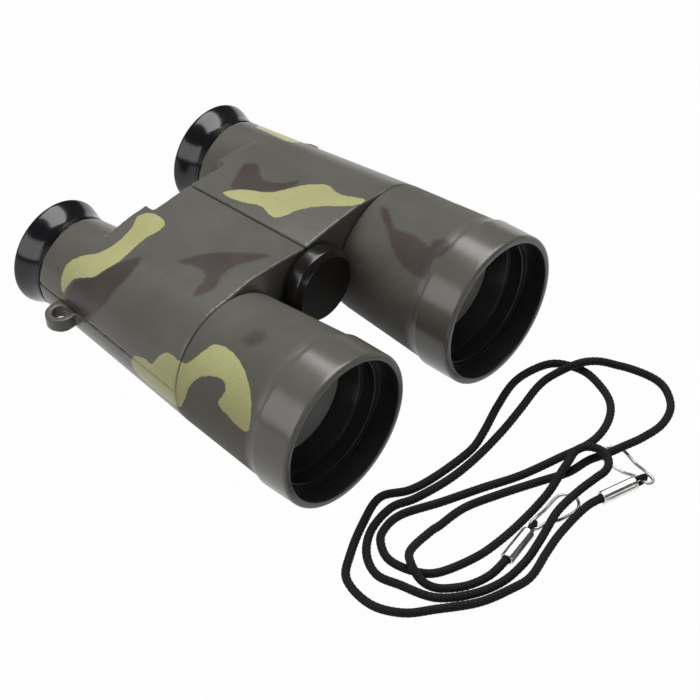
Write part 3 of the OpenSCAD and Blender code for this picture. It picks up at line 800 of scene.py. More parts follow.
class Finishes:
    """The materials of the whole object, each made once."""

    def __init__(self) -> None:
        """Makes every finish's material."""
        self.camouflage = CamouflagePlastic().material()
        self.gloss = BlackPlastic("gloss_black_plastic").material()
        # Black plastic, which also gives the barrels painted shade on their rear chamfers at the seam.
        self.sleeve = BlackPlastic("sleeve_black_plastic", (50, 48, 50), 0.28, 0.5).material()
        self.satin = BlackPlastic("satin_black_plastic", (24, 23, 21), 0.2, 0.5, 0.7, 0.012).material()
        self.grained = BlackPlastic("grained_black_plastic", (22, 21, 18), 0.6, 0.12, 0.7, 0.06).material()
        self.lens = LensPlastic().material()
        self.nickel = BrightMetal("nickel_plate", (232, 231, 227), 0.3).material()
        self.steel = BrightMetal("drawn_steel", (188, 189, 190), 0.42).material()
        self.braid = BlackBraid("braided_cord", 4).material()
        self.thin_braid = BlackBraid("braided_cord_end", 3).material()
        self.floor = PaleFloor().material()


# ------------------------------------------------------------------------------------------ camouflage


@dataclass(frozen=True)
class Patch:
    """One sprayed patch: distance outward from the tube's top line and distance behind the rim of its points."""

    outline: tuple[Point2, ...]
    strength: float = 1.0


@dataclass(frozen=True)
class Camouflage:
    """The patches of the two halves, and the numbers that a finish reads from them."""

    spread: float = 0.33
    limit: float = 3.0
    steps: int = 4
    faint: float = 0.3
    bridge_turn: float = -95
    khaki_right: tuple[Patch, ...] = (
        Patch((
            (24, 92.5), (18, 94.5), (13, 94), (8.5, 91), (4.5, 87), (-2.5, 86), (-8.5, 87), (-12, 89), (-15, 87.5),
            (-15.5, 83), (-14, 80), (-11, 79), (-7, 80), (-2, 80), (4, 79.5), (9.5, 81.5), (13, 83.5), (17, 89.5),
        )),
        Patch((
            (28, 61), (25, 56), (25, 52.5), (21, 50), (19, 47.5), (19, 42.5), (18, 39.5), (13, 36.5), (10.5, 34.5),
            (10, 30), (11, 25), (13, 21), (15.5, 17.5), (19, 15), (23.5, 14), (24.5, 17), (23.5, 22), (22.5, 26),
            (19, 25), (17, 26), (17, 29.5), (19.5, 34.5), (23.5, 37), (28, 38.5), (33, 42), (35, 51), (34, 60),
        )),
        Patch(((42, 84), (49, 88), (56, 84), (58, 76), (53, 70), (48, 74), (44, 72), (40, 77))),
        Patch(((44, 34), (50, 38), (57, 34), (60, 26), (55, 22), (50, 27), (45, 26))),
        Patch(((66, 36), (74, 33), (80, 36), (82, 30), (76, 25), (69, 27), (64, 30))),
    )
    umber_right: tuple[Patch, ...] = (
        Patch((
            (27, 91), (17.5, 89), (12.5, 83), (4.5, 79), (-1, 75.5), (6, 73), (12.5, 74), (18, 75), (23, 78),
            (28, 84),
        )),
        Patch((
            (-5, 65), (-12.5, 59.5), (-16, 55), (-21.5, 46.5), (-12.5, 50), (-7.5, 50.5), (-2.5, 48.5), (2.5, 51.5),
            (-4.5, 54), (-6, 59),
        )),
        Patch(((38, 66), (46, 68), (53, 63), (56, 55), (50, 50), (45, 57), (39, 58))),
        Patch(((40, 22), (47, 20), (52, 13), (46, 10), (40, 13), (36, 18))),
        Patch(((2, 27), (6, 29), (7, 25), (3, 23)), 0.4),
    )
    khaki_left: tuple[Patch, ...] = (
        Patch((
            (-27.5, 77.5), (-23, 74), (-19.5, 67), (-12.5, 62.5), (-9.5, 60), (-7, 56.5), (-8.5, 50.5), (-6, 43.5),
            (-10.5, 43.5), (-16, 51), (-21, 55), (-24.5, 56), (-27, 58.5), (-25.5, 64.5), (-27, 69), (-28, 73.5),
        )),
        Patch(((8, 98), (6.5, 92), (6, 84), (10, 82), (18, 86), (22, 93), (16, 99))),
        Patch((
            (14, 66), (20, 60), (22, 52), (27, 46), (33, 44), (38, 48), (36, 55), (30, 60), (27, 68), (22, 74),
            (16, 73),
        )),
        Patch(((12, 30), (17, 34), (24, 33), (29, 27), (34, 22), (33, 15), (27, 13), (24, 19), (19, 22), (13, 24))),
        Patch(((46, 60), (53, 64), (58, 58), (56, 50), (50, 47), (47, 52))),
        Patch(((44, 24), (50, 27), (56, 22), (54, 14), (47, 13), (43, 18))),
    )
    umber_left: tuple[Patch, ...] = (
        Patch((
            (-24.5, 77), (-19, 80.5), (-13.5, 83), (-11.5, 79.5), (-16, 73.5), (-14.5, 68), (-10.5, 64.5),
            (-14.5, 64), (-20.5, 69),
        )),
        Patch((
            (-4.6, 38.6), (-4.3, 36.4), (-6.1, 33.6), (-8.2, 29.8), (-7.6, 24.5), (-8.1, 19.5), (-8.4, 17.2),
            (-6.6, 17.4), (-5.4, 15.8), (-4.8, 13.4), (-6.5, 11.8), (-9, 12.2), (-10.5, 13.6), (-13, 13),
            (-15.5, 12.5), (-16.2, 15.7), (-15.8, 19.8), (-14.7, 23.5), (-12.7, 27.6), (-9.6, 31.8), (-7.4, 35.7),
        )),
        Patch(((8, 78), (14, 82), (22, 80), (28, 84), (33, 79), (30, 72), (22, 76), (14, 75))),
        Patch(((20, 40), (28, 40), (36, 36), (40, 29), (36, 24), (32, 31), (26, 35))),
        Patch(((42, 78), (50, 81), (57, 76), (55, 68), (48, 70), (43, 72))),
        Patch(((48, 40), (56, 40), (59, 33), (53, 30), (47, 34))),
    )

    def depth(self, places: np.ndarray, patches: tuple[Patch, ...]) -> np.ndarray:
        """How far inside the nearest patch each place lies, negative outside.

        Args:
            places: Distance outward and distance behind the rim of each place.
            patches: The patches of one colour.

        Returns:
            One number for each place, at most the limit either way.
        """
        best = np.full(len(places), -self.limit)
        for patch in patches:
            line = smooth_path(patch.outline, self.steps, closed=True)
            low, high = line.min(0) - self.limit, line.max(0) + self.limit
            near = np.where(((places > low) & (places < high)).all(1))[0]
            if len(near) == 0:
                continue
            p = places[near]
            distance = np.full(len(p), np.inf)
            inside = np.zeros(len(p), bool)
            for a, b in zip(line, np.roll(line, -1, 0)):
                t = np.clip(((p - a) @ (b - a)) / ((b - a) @ (b - a) + TINY), 0, 1)
                distance = np.minimum(distance, np.linalg.norm(p - a - t[:, None] * (b - a), axis=1))
                span = (a[1] > p[:, 1]) != (b[1] > p[:, 1])
                cross = a[0] + (p[:, 1] - a[1]) / (b[1] - a[1] + TINY) * (b[0] - a[0])
                inside ^= span & (p[:, 0] < cross)
            signed = np.where(inside, np.minimum(distance, self.limit * patch.strength), -distance)
            signed = np.where(inside & (patch.strength < 1), signed * patch.strength - self.faint, signed)
            best[near] = np.maximum(best[near], signed)
        return np.clip(best, -self.limit, self.limit)

    def spray(self, mesh: Mesh, side: Side, flat_bridge: bool) -> np.ndarray:
        """Stores the patches on a mesh of one half.

        Args:
            mesh: The mesh, in place on the table.
            side: The half it belongs to.
            flat_bridge: Whether the inner side is a flat bridge; otherwise it is round.

        Returns:
            The mesh's drawn points.
        """
        drawn = STANCE.drawn(points_of(mesh))
        out = drawn[:, 0] * side.value - HALF_SPACING
        turn = np.degrees(np.arctan2(out, drawn[:, 2]))
        along = self.spread * np.where(turn < self.bridge_turn, turn + 360, turn)
        if flat_bridge:
            along = np.where((turn <= 0) & (turn >= self.bridge_turn), out, along)
        places = np.stack([along, drawn[:, 1]], 1)
        right = side is Side.RIGHT
        set_field(mesh, "khaki", self.depth(places, self.khaki_right if right else self.khaki_left))
        set_field(mesh, "umber", self.depth(places, self.umber_right if right else self.umber_left))
        return drawn


# ---------------------------------------------------------------------------------------- sub-assemblies


@dataclass
class NeckCord:
    """The braided neck cord in its loose loops, with the ferrule, end loop and wire clip of each end."""

    finishes: Finishes
    tube: SweptTube
    cord_d: float = 2.4
    cord_gap: float = 0.5
    cord_length: float = 735.7
    cord_sides: int = 24
    cord_strands: float = 8.0
    route_steps: int = 6
    braid_relief: float = 0.22
    braid_pitch: float = 1.35
    braid_step: float = 0.32
    ferrule_z: float = 2.0
    ferrule_d: float = 3.8
    ferrule_length: float = 11.0
    ferrule_socket: float = 1.5
    ferrule_bore: float = 2.5
    ferrule_edge: float = 0.3
    ferrule_nip: float = 0.08
    ferrule_rows: int = 24
    ferrule_sides: int = 72
    ferrule_sharp: float = 75
    crease: float = 0.17
    crease_width: float = 11.0
    crease_run: int = 4
    crease_places: tuple[float, ...] = (0, 60, 120, 180, 240, 300)
    loop_d: float = 1.4
    loop_sides: int = 16
    loop_strands: float = 6.0
    loop_steps: int = 16
    loop_bend: float = 1.3
    loop_leg: float = 2.2
    loop_tuck: float = 0.3
    wire_d: float = 0.9
    wire_sides: int = 14
    wire_step: float = 0.25
    clip_steps: int = 8
    clip_length: float = 15.6
    clip_half_w: float = 3.2
    clip_neck: float = 1.35
    clip_bend: float = 1.6
    clip_slope: float = 6.0
    clip_slack: float = 0.4
    ferrule_a: Corner = (12.5, -107.5, -17)
    ferrule_b: Corner = (-20.5, -102.3, 8)
    clip_a_turn: float = 81
    clip_b_turn: float = -4
    points: tuple[Corner, ...] = (
        (7.6, -106.3, 0.2), (-2.6, -106.5, 0), (-10.8, -107.9, 0), (-19.8, -109.9, 0), (-26.4, -108.7, 0),
        (-35.2, -105.5, 0), (-44, -99.2, 0), (-50.6, -93.9, 0), (-54.2, -86.1, 0), (-52.5, -76.8, 0),
        (-45.9, -72, 0), (-36.2, -67.5, 0), (-26.6, -64.8, 0), (-19.4, -68.8, 0), (-10.6, -70.7, 0),
        (2.4, -71.4, 0), (10.4, -69.6, 0), (19.9, -66.4, 0), (30, -63.9, 0), (37.9, -64.6, 0),
        (44.2, -67.5, 0), (47.2, -73.8, 0), (46.8, -79.8, 0), (43.1, -87.6, 0), (36.4, -92, 0),
        (27.4, -93.2, 0), (16.8, -90.4, 0), (4.7, -86.8, 0), (-5.4, -82.3, 0), (-16.6, -77.6, 0),
        (-27.4, -72.7, 0), (-34.6, -73, 0), (-38.4, -75.8, 0), (-40.5, -80.6, 0), (-39, -87.2, 0),
        (-35, -92.1, 0), (-24.8, -95.8, 0), (-15.6, -96.9, 0), (-5.4, -96.9, 0.05), (4.2, -96.4, 0.4),
        (11.6, -95.2, 1.1), (15.2, -94.6, 1.3), (18.2, -94, 1.4), (20.7, -94.7, 1.5), (22.5, -96.5, 1.5),
        (23.2, -99, 1.5), (22.5, -101.5, 1.5), (20.7, -103.3, 1.5), (18.2, -104, 1.4), (15, -103.4, 1.2),
        (8.8, -102.4, 0.85), (-0.4, -102.8, 0.95), (-9.4, -104.7, 0.45), (-17.4, -105.9, 0), (-26.2, -105.7, 0),
        (-34.6, -102.5, 0), (-41.6, -96.5, 0), (-44.6, -87.6, 0), (-46.2, -81.2, 0), (-43, -74.9, 0),
        (-36.2, -70.5, 0), (-27.2, -69.3, 0), (-20.4, -71.8, 0), (-9.4, -73.9, 0), (1.4, -74.2, 0),
        (13.5, -73.2, 0), (23.6, -71.6, 0), (34.4, -69.7, 0), (39.7, -70.9, 0.5), (46, -73.9, 1.05),
        (51.5, -76.6, 0.65), (55.8, -80.7, 0), (58.5, -89, 0), (58, -95.3, 0), (53.1, -101.1, 0),
        (46, -103.3, 0), (37.5, -102.7, 0.3), (30.6, -101.2, 0.6), (25, -99.4, 0.6), (21, -96.9, 0.2),
        (14.2, -95.3, 0), (6, -91.5, 0), (-4, -87, 0), (-14, -83.2, 0), (-22.8, -82.4, 0),
        (-26.9, -82.4, 0.3), (-35.8, -83.4, 0.8), (-39.5, -86.8, 1), (-40.6, -91.5, 0.4), (-38.5, -95.7, 0),
        (-33.2, -100, 0), (-26.7, -102.4, 0.2),
    )

    def at_ferrule(self, ferrule: Corner, local: Sequence[Sequence[float]]) -> np.ndarray:
        """Places points at a ferrule's cord end.

        Args:
            ferrule: Place and heading of the ferrule.
            local: Points along, across and above the ferrule's axis, in millimetres.

        Returns:
            The points on the table, in metres.
        """
        x, y, turn = ferrule
        c, s = math.cos(math.radians(turn)), math.sin(math.radians(turn))
        along, across, above = np.asarray(local, float).T
        return np.stack([x + along * c - across * s, y + along * s + across * c, self.ferrule_z + above], 1) * MM

    def route(self) -> np.ndarray:
        """Centre line of the cord between its two ferrules, in metres."""
        layer = self.cord_d + self.cord_gap
        socket = [(self.ferrule_socket, 0, 0)]
        start, stop = (self.at_ferrule(f, socket)[0] / MM for f in (self.ferrule_a, self.ferrule_b))
        middle = [(x, y, self.cord_d / 2 + level * layer) for x, y, level in self.points]
        line = smooth_path([start, *middle, stop], self.route_steps)
        line[:, 2] = np.maximum(line[:, 2], self.cord_d / 2)
        return line * MM

    def sweep(self, line: np.ndarray, d: float, sides: int, material: Material, wire: bool = False) -> Mesh:
        """A tube along a line: an open braid, or a closed ring of plain wire.

        Args:
            line: The line's points, in metres.
            d: Diameter of the tube.
            sides: Steps around it.
            material: Its finish.
            wire: Whether it is a ring of wire.

        Returns:
            The mesh.
        """
        values = {
            "Radius": d / 2 * MM,
            "Step": (self.wire_step if wire else self.braid_step) * MM,
            "Relief": (0.0 if wire else self.braid_relief * d / self.cord_d) * MM,
            "Strands": self.cord_strands if d == self.cord_d else self.loop_strands,
            "Pitch": self.braid_pitch * d / self.cord_d * MM,
            "Sides": sides,
            "Material": material,
        }
        last = len(line) - 1
        edges = [(i, i + 1) for i in range(last)] + [(last, 0)] * wire
        source = bpy.data.meshes.new("line")
        source.from_pydata([tuple(p) for p in line], edges, [])
        return self.tube.apply(source, values)

    def ferrule(self, ferrule: Corner) -> Mesh:
        """A crimped sleeve: open socket at the cord's end, closed face at the loop's, creased along its length.

        Args:
            ferrule: Its place and heading.

        Returns:
            The mesh.
        """
        radius, length, bore = self.ferrule_d / 2, self.ferrule_length, self.ferrule_bore / 2
        edge, nip, count, around = self.ferrule_edge, self.ferrule_nip, self.ferrule_rows, self.ferrule_sides
        # Each row is a distance from the cord's end, a radius and the share of the crease there.
        rim = [(0, radius - edge, 0.15), (nip, radius - nip, 0.2), (edge, radius, 0.3)]
        rows = [(self.ferrule_socket, bore, 0), (SOFT, bore, 0), (0, bore + SOFT, 0.1), *rim]
        for k in range(1, count):
            share = min(1.0, 0.3 + min(k, count - k) / self.crease_run)
            rows.append((edge + (length - 2 * edge) * k / count, radius, share))
        rows += [(length - s, r, share) for s, r, share in reversed(rim)]
        angles = np.arange(around) * 2 * math.pi / around
        away = [(np.degrees(angles) - p + 180) % 360 - 180 for p in self.crease_places]
        crease = sum(np.exp(-((a / self.crease_width) ** 2)) for a in away)
        points = []
        for s, r, share in rows:
            for a, dip in zip(angles, crease):
                here = r - self.crease * share * dip
                points.append((s, here * math.sin(a), here * math.cos(a)))
        placed = self.at_ferrule(ferrule, points)
        return mesh_from(placed, ring_faces(len(rows), around), self.finishes.nickel, self.ferrule_sharp)

    def loop_line(self, ferrule: Corner) -> np.ndarray:
        """Centre line of the doubled end that carries a clip.

        Args:
            ferrule: Place and heading of its ferrule.

        Returns:
            The line's points, in metres.
        """
        start, bend = self.ferrule_length, self.loop_bend
        legs = [(start - self.loop_tuck, 0, bend), (start + self.loop_leg / 2, 0, bend)]
        angles = [math.pi / 2 - math.pi * k / self.loop_steps for k in range(self.loop_steps + 1)]
        turn = [(start + self.loop_leg + bend * math.cos(a), 0, bend * math.sin(a)) for a in angles]
        return self.at_ferrule(ferrule, legs + turn + [(s, t, -z) for s, t, z in reversed(legs)])

    def clip_line(self, ferrule: Corner, turn: float, by_side: bool) -> np.ndarray:
        """Centre line of a wire clip, which comes down from its end loop to the table.

        Args:
            ferrule: Place and heading of its ferrule.
            turn: Heading of the clip, in degrees.
            by_side: Whether it hangs by its side; otherwise by its narrow end.

        Returns:
            The line's points, in metres.
        """
        bend, neck, wide, length = self.clip_bend, self.clip_neck, self.clip_half_w, self.clip_length
        half = [
            (-0.7 * bend, 0.75 * neck), (0.2 * bend, neck), (1.2 * bend, 1.1 * neck),
            (0.7 * length, wide), (0.9 * length, 0.8 * wide),
        ]
        whole = [(-bend, 0), *half, (length, 0), *[(s, -t) for s, t in reversed(half)]]
        outline = smooth_path(whole, self.clip_steps, closed=True)
        middle = self.at_ferrule(ferrule, [(self.ferrule_length + self.loop_leg, 0, 0)])[0] / MM
        c, s = math.cos(math.radians(turn)), math.sin(math.radians(turn))
        ahead, aside = np.array([c, s]), np.array([s, -c])
        at = middle[:2] + (neck * aside - bend / 2 * ahead if by_side else (bend - self.clip_slack) * ahead)
        fall = np.clip((outline[:, 0] - neck) / self.clip_slope, 0, 1)
        fall = fall * fall * (3 - 2 * fall)
        height = self.ferrule_z + (self.wire_d / 2 - self.ferrule_z) * fall
        flat = at + outline[:, :1] * ahead - outline[:, 1:] * aside
        return np.column_stack([flat, height]) * MM

    def build(self) -> None:
        body, route, looks = Side.RIGHT.body, self.route(), self.finishes
        braid = self.sweep(route, self.cord_d, self.cord_sides, looks.braid)
        cord = add_piece("neck_cord", "braided", braid, body)
        fittings = []
        ends = (("a", self.ferrule_a, self.clip_a_turn, True), ("b", self.ferrule_b, self.clip_b_turn, False))
        for end, ferrule, turn, by_side in ends:
            loop, clip = self.loop_line(ferrule), self.clip_line(ferrule, turn, by_side)
            braid = self.sweep(loop, self.loop_d, self.loop_sides, looks.thin_braid)
            wire = self.sweep(clip, self.wire_d, self.wire_sides, looks.steel, wire=True)
            fittings += [
                add_piece(f"ferrule_{end}", "crimped", self.ferrule(ferrule), body),
                add_piece(f"end_loop_{end}", "braided", braid, body),
                add_piece(f"wire_clip_{end}", "bent", wire, body),
            ]


@dataclass
class Tube:
    """What the pieces of one tube share."""

    side: Side
    finishes: Finishes

    @property
    def axis(self) -> Point2:
        """Drawn x and z of the tube's axis."""
        return self.side.value * HALF_SPACING, 0.0

    def add(self, part: str, made: str, mesh: Mesh, slot: Slot) -> None:
        """Puts one of the tube's pieces in the scene."""
        add_piece(f"{self.side.label}_{part}", made, mesh, self.side.body)


@dataclass
class Housing(Tube):
    """One tapered housing: its upper and lower moulded shells and the screws that join them."""

    camouflage: Camouflage
    screws: SetOnPoints
    voxel: float = 0.4
    soften: int = 3
    soften_share: float = 0.5
    weld: float = 0.001
    shell_grain: float = 0.25
    screw_x: float = 9.47
    screw_places: tuple[float, ...] = (54.3, 78.3)
    floor_z: float = -0.3
    screw_d: float = 2.5
    screw_length: float = 9.0
    screw_sides: int = 48
    screw_sharp: float = 30
    shank: float = 1.0
    point: float = 1.4
    unthreaded: float = 2.6
    tip_r: float = 0.12
    ribs: int = 5
    root_share: float = 0.78
    head_d: float = 4.6
    head_h: float = 1.5
    head_rows: int = 10
    head_arc: float = 0.42
    slot_depth: float = 0.7
    slot_half_w: float = 0.38
    slot_reach: float = 1.45

    def moulded(self, part: str) -> Mesh:
        """A shell with the softened edges of a moulding.

        Args:
            part: The shell's name without its side.

        Returns:
            The mesh.
        """
        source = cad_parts[f"{self.side.label}_{part}"].data.copy()
        work = bmesh.new()
        work.from_mesh(source)
        bmesh.ops.remove_doubles(work, verts=work.verts, dist=self.weld * MM)
        work.to_mesh(source)
        work.free()
        source.materials.clear()

        def arrange(obj: Object) -> None:
            """Gives the object its remesh and its smoothing."""
            remesh = obj.modifiers.new("remesh", "REMESH")
            remesh.mode = "VOXEL"
            remesh.voxel_size = self.voxel * MM
            remesh.use_smooth_shade = True
            smooth = obj.modifiers.new("smooth", "SMOOTH")
            smooth.factor = self.soften_share
            smooth.iterations = self.soften

        mesh = modified(source, arrange)
        self.camouflage.spray(mesh, self.side, flat_bridge=True)
        set_field(mesh, "grain", np.full(len(mesh.vertices), self.shell_grain))
        mesh.materials.append(self.finishes.camouflage)
        return mesh

    def screw_shape(self) -> Object:
        """A ribbed self-tapping screw with a cross in its round head, pointing up, its shoulder at the origin.

        Returns:
            The shape, outside the scene.
        """
        r, d, tip, around = self.head_d / 2, self.screw_d / 2, self.tip_r, self.screw_sides
        rows = []
        for k in range(self.head_rows):
            t = k / (self.head_rows - 1)
            rows.append((tip + (r - tip) * t, -self.head_h * math.cos(self.head_arc * math.pi * t**2)))
        rows += [(r, 0), (d, 0), (d, self.shank)]
        for k in range(self.ribs * 2):
            z = self.shank + (self.screw_length - self.unthreaded) * (k + 0.5) / (self.ribs * 2)
            rows.append((d if k % 2 else d * self.root_share, z))
        rows += [(d * self.root_share, self.screw_length - self.point), (tip, self.screw_length)]
        points = []
        for i, (radius, z) in enumerate(rows):
            for k in range(around):
                a = 2 * math.pi * k / around
                x, y = radius * math.cos(a), radius * math.sin(a)
                crossed = min(abs(x), abs(y)) < self.slot_half_w and radius < self.slot_reach
                cut = i < self.head_rows and crossed
                points.append((x, y, max(z, -self.head_h + self.slot_depth) if cut else z))
        placed = np.array(points) * MM @ np.array(Matrix.Rotation(-STANCE.pitch, 3, "X")).T
        mesh = mesh_from(placed, ring_faces(len(rows), around), crease=self.screw_sharp)
        return bpy.data.objects.new("screw_shape", mesh)

    def screw_set(self) -> Mesh:
        """The half's screws, one on each of their places.

        Returns:
            The mesh.
        """
        places = np.array([(self.side.value * self.screw_x, y, self.floor_z) for y in self.screw_places])
        source = bpy.data.meshes.new("screw_places")
        source.from_pydata([tuple(p) for p in STANCE.place(places)], [], [])
        shape = self.screw_shape()
        mesh = self.screws.apply(source, {"Shape": shape, "Material": self.finishes.steel})
        bpy.data.objects.remove(shape)
        return mesh

    def build(self) -> None:
        """Makes the two shells and the screws."""
        for part in ("upper_shell", "lower_shell"):
            self.add(part, "moulded", self.moulded(part), Slot.OLIVE)
        self.add("shell_screws", "driven", self.screw_set(), Slot.STEEL)


@dataclass
class Objective(Tube):
    """One objective: the barrel with its smooth collar, the stepped sleeve in its mouth and the lens."""

    camouflage: Camouflage
    mouth_r: float = 20.3
    mouth_round: float = 0.4
    collar_r: float = 22.4
    collar_length: float = 11.5
    collar_edge: float = 0.5
    collar_grain: float = 0.02
    grain_start: float = 1
    grain_run: float = 3
    rim_round: float = 1.3
    front_r: float = 21.8
    rear_r: float = 19.7
    length: float = 42.3
    longest_edge: float = 0.9
    paint_depth: float = 0.8
    seam_chamfer: float = 0.4
    seam_margin: float = 0.15
    socket_r: float = 17.35
    seat_y: float = 18.6
    seat_t: float = 2.0
    seat_r: float = 15.3
    pocket_r: float = 19.35
    sleeve_r: float = 19.3
    sleeve_y: float = 6.7
    sleeve_round: float = 0.55
    step_y: float = 11.1
    step_r: float = 18.4
    ledge_r: float = 17.4
    window_r: float = 14.7
    lens_y: float = 16.6
    lens_r: float = 19.3
    lens_fit: float = 0.05
    lens_sags: Point2 = (1.4, 0.9)

    def barrel(self) -> Mesh:
        """The barrel: smooth on its collar, grained behind it, black inside, with painted shade on its rear chamfer
        at the seam.

        Returns:
            The mesh.
        """
        shoulder, seat = self.length - self.seam_chamfer, self.seat_y + self.seat_t
        corners = [
            (self.mouth_r, 0, self.mouth_round), (self.collar_r, 0, self.rim_round),
            (self.collar_r, self.collar_length, self.collar_edge), (self.front_r, self.collar_length, ROUND),
            (self.rear_r, shoulder, FINE), (self.rear_r - self.seam_chamfer, self.length, FINE),
            (self.socket_r, self.length, SOFT), (self.socket_r, seat, SOFT), (self.seat_r, seat, SOFT),
            (self.seat_r, self.seat_y, FINE), (self.pocket_r, self.seat_y, 0), (self.pocket_r, self.sleeve_y, 0),
            (self.mouth_r, self.sleeve_y, FINE),
        ]
        profile = rounded(corners, True, longest=self.longest_edge)
        mesh = turned(profile, self.axis, True, self.finishes.camouflage)
        drawn = self.camouflage.spray(mesh, self.side, flat_bridge=False)
        behind = drawn[:, 1] - self.collar_length
        grain = np.clip((behind - self.grain_start) / self.grain_run, 0, 1)
        set_field(mesh, "grain", self.collar_grain + (1 - self.collar_grain) * grain)
        share = np.clip(behind / (self.length - self.collar_length), 0, 1)
        wall = self.front_r + (self.rear_r - self.front_r) * share - self.seam_chamfer - self.paint_depth
        radius = np.hypot(drawn[:, 0] - self.axis[0], drawn[:, 2])
        # Black inside the barrel, and painted shade on the rear chamfer, which darkens the seam's groove against the
        # housing.
        seam = drawn[:, 1] > shoulder - self.seam_margin
        black_or_seam_shade = (radius < np.minimum(wall, self.mouth_r + self.mouth_round / 2)) | seam
        dress_where(mesh, self.finishes.sleeve, black_or_seam_shade)
        return mesh

    def sleeve(self) -> Mesh:
        """The stepped black sleeve in front of the lens.

        Returns:
            The mesh.
        """
        corners = [
            (self.sleeve_r, self.sleeve_y, FINE), (self.sleeve_r, self.lens_y, 0), (self.window_r, self.lens_y, SOFT),
            (self.ledge_r, self.step_y, ROUND), (self.step_r, self.step_y, SOFT),
            (self.step_r, self.sleeve_y, self.sleeve_round),
        ]
        return turned(rounded(corners, True), self.axis, True, self.finishes.sleeve)

    def build(self) -> None:
        """Makes the barrel, the sleeve and the lens."""
        window = self.window_r - self.lens_fit
        lens = lens_profile(window, self.lens_r, self.lens_y, self.seat_y, self.lens_sags)
        self.add("objective_barrel", "turned", self.barrel(), Slot.OLIVE)
        self.add("lens_retainer", "turned", self.sleeve(), Slot.BLACK)
        self.add("objective_lens", "turned", turned(lens, self.axis, False, self.finishes.lens), Slot.LENS)


@dataclass
class Eyepiece(Tube):
    """One eyepiece: the flared cup, the hollow lens and the ring that holds it."""

    neck_y: float = 103.5
    neck_r: float = 14.05
    sleeve_r: float = 12.0
    sleeve_length: float = 8.0
    groove_w: float = 0.5
    groove_depth: float = 0.3
    waist_length: float = 1.4
    waist_notch: Point2 = (0.35, 0.2)
    crisp: float = 0.08
    flare_steps: int = 14
    cup_r: float = 15.9
    cup_y: float = 112.9
    lip: float = 1.0
    bowl_r: float = 13.3
    bowl_round: float = 0.6
    ledge: float = 3.0
    window_r: float = 8.5
    window_round: float = 0.8
    lens_r: float = 10.25
    lens_t: float = 2.6
    lens_sag: float = 0.7
    ring_wall: float = 1.6
    fit: float = 0.05

    def cup(self) -> Mesh:
        """The flared cup with its grooved waist.

        Returns:
            The mesh.
        """
        lip_y, waist_y, ledge_y = self.cup_y - self.lip, self.neck_y + self.waist_length, self.neck_y + self.ledge
        front, groove_y = self.neck_y - self.sleeve_length, self.neck_y + self.groove_w
        groove_r = self.neck_r - self.groove_depth
        corners: list[Corner] = [
            (self.sleeve_r, front, SOFT), (self.sleeve_r, self.neck_y, FINE), (groove_r, self.neck_y, 0.05),
            (groove_r, groove_y, self.crisp), (self.neck_r, groove_y, 0.12),
            (self.neck_r, waist_y - self.waist_notch[0], self.crisp),
            (self.neck_r - self.groove_depth / 2, waist_y - self.waist_notch[1], self.crisp),
            (self.neck_r, waist_y, self.crisp),
        ]
        for k in range(1, self.flare_steps):
            t = k / self.flare_steps
            flare = (self.cup_r - self.neck_r) * t * math.sin(math.pi / 2 * t)
            corners.append((self.neck_r + flare, waist_y + (lip_y - waist_y) * t, 0))
        inner, half = self.lens_r + self.fit, self.lip / 2
        corners += arc((self.cup_r - self.lip, lip_y), self.lip, 0, 90)
        corners += arc((self.bowl_r + half, self.cup_y - half), half, 90, 180)
        corners += [(self.sleeve_r, ledge_y, self.bowl_round)]
        corners += arc((self.window_r + self.window_round, ledge_y - self.window_round), self.window_round, 90, 180)
        corners += [(self.window_r, self.neck_y, 0), (inner, self.neck_y, 0), (inner, front, FINE)]
        return turned(rounded(corners, True), self.axis, True, self.finishes.gloss)

    def build(self) -> None:
        """Makes the cup, the lens and the ring."""
        front, rear, inner = self.neck_y - self.sleeve_length, self.neck_y - self.lens_t, self.lens_r - self.ring_wall
        lens = lens_profile(self.window_r, self.lens_r, rear, self.neck_y, (-self.lens_sag, -self.lens_sag))
        ring = rounded(
            [(self.lens_r, front, SOFT), (self.lens_r, rear, FINE), (inner, rear, SOFT), (inner, front, ROUND)], True
        )
        self.add("eyecup", "turned", self.cup(), Slot.BLACK)
        self.add("eye_lens", "turned", turned(lens, self.axis, False, self.finishes.lens), Slot.LENS)
        self.add("eye_lens_ring", "turned", turned(ring, self.axis, True, self.finishes.sleeve), Slot.BLACK)


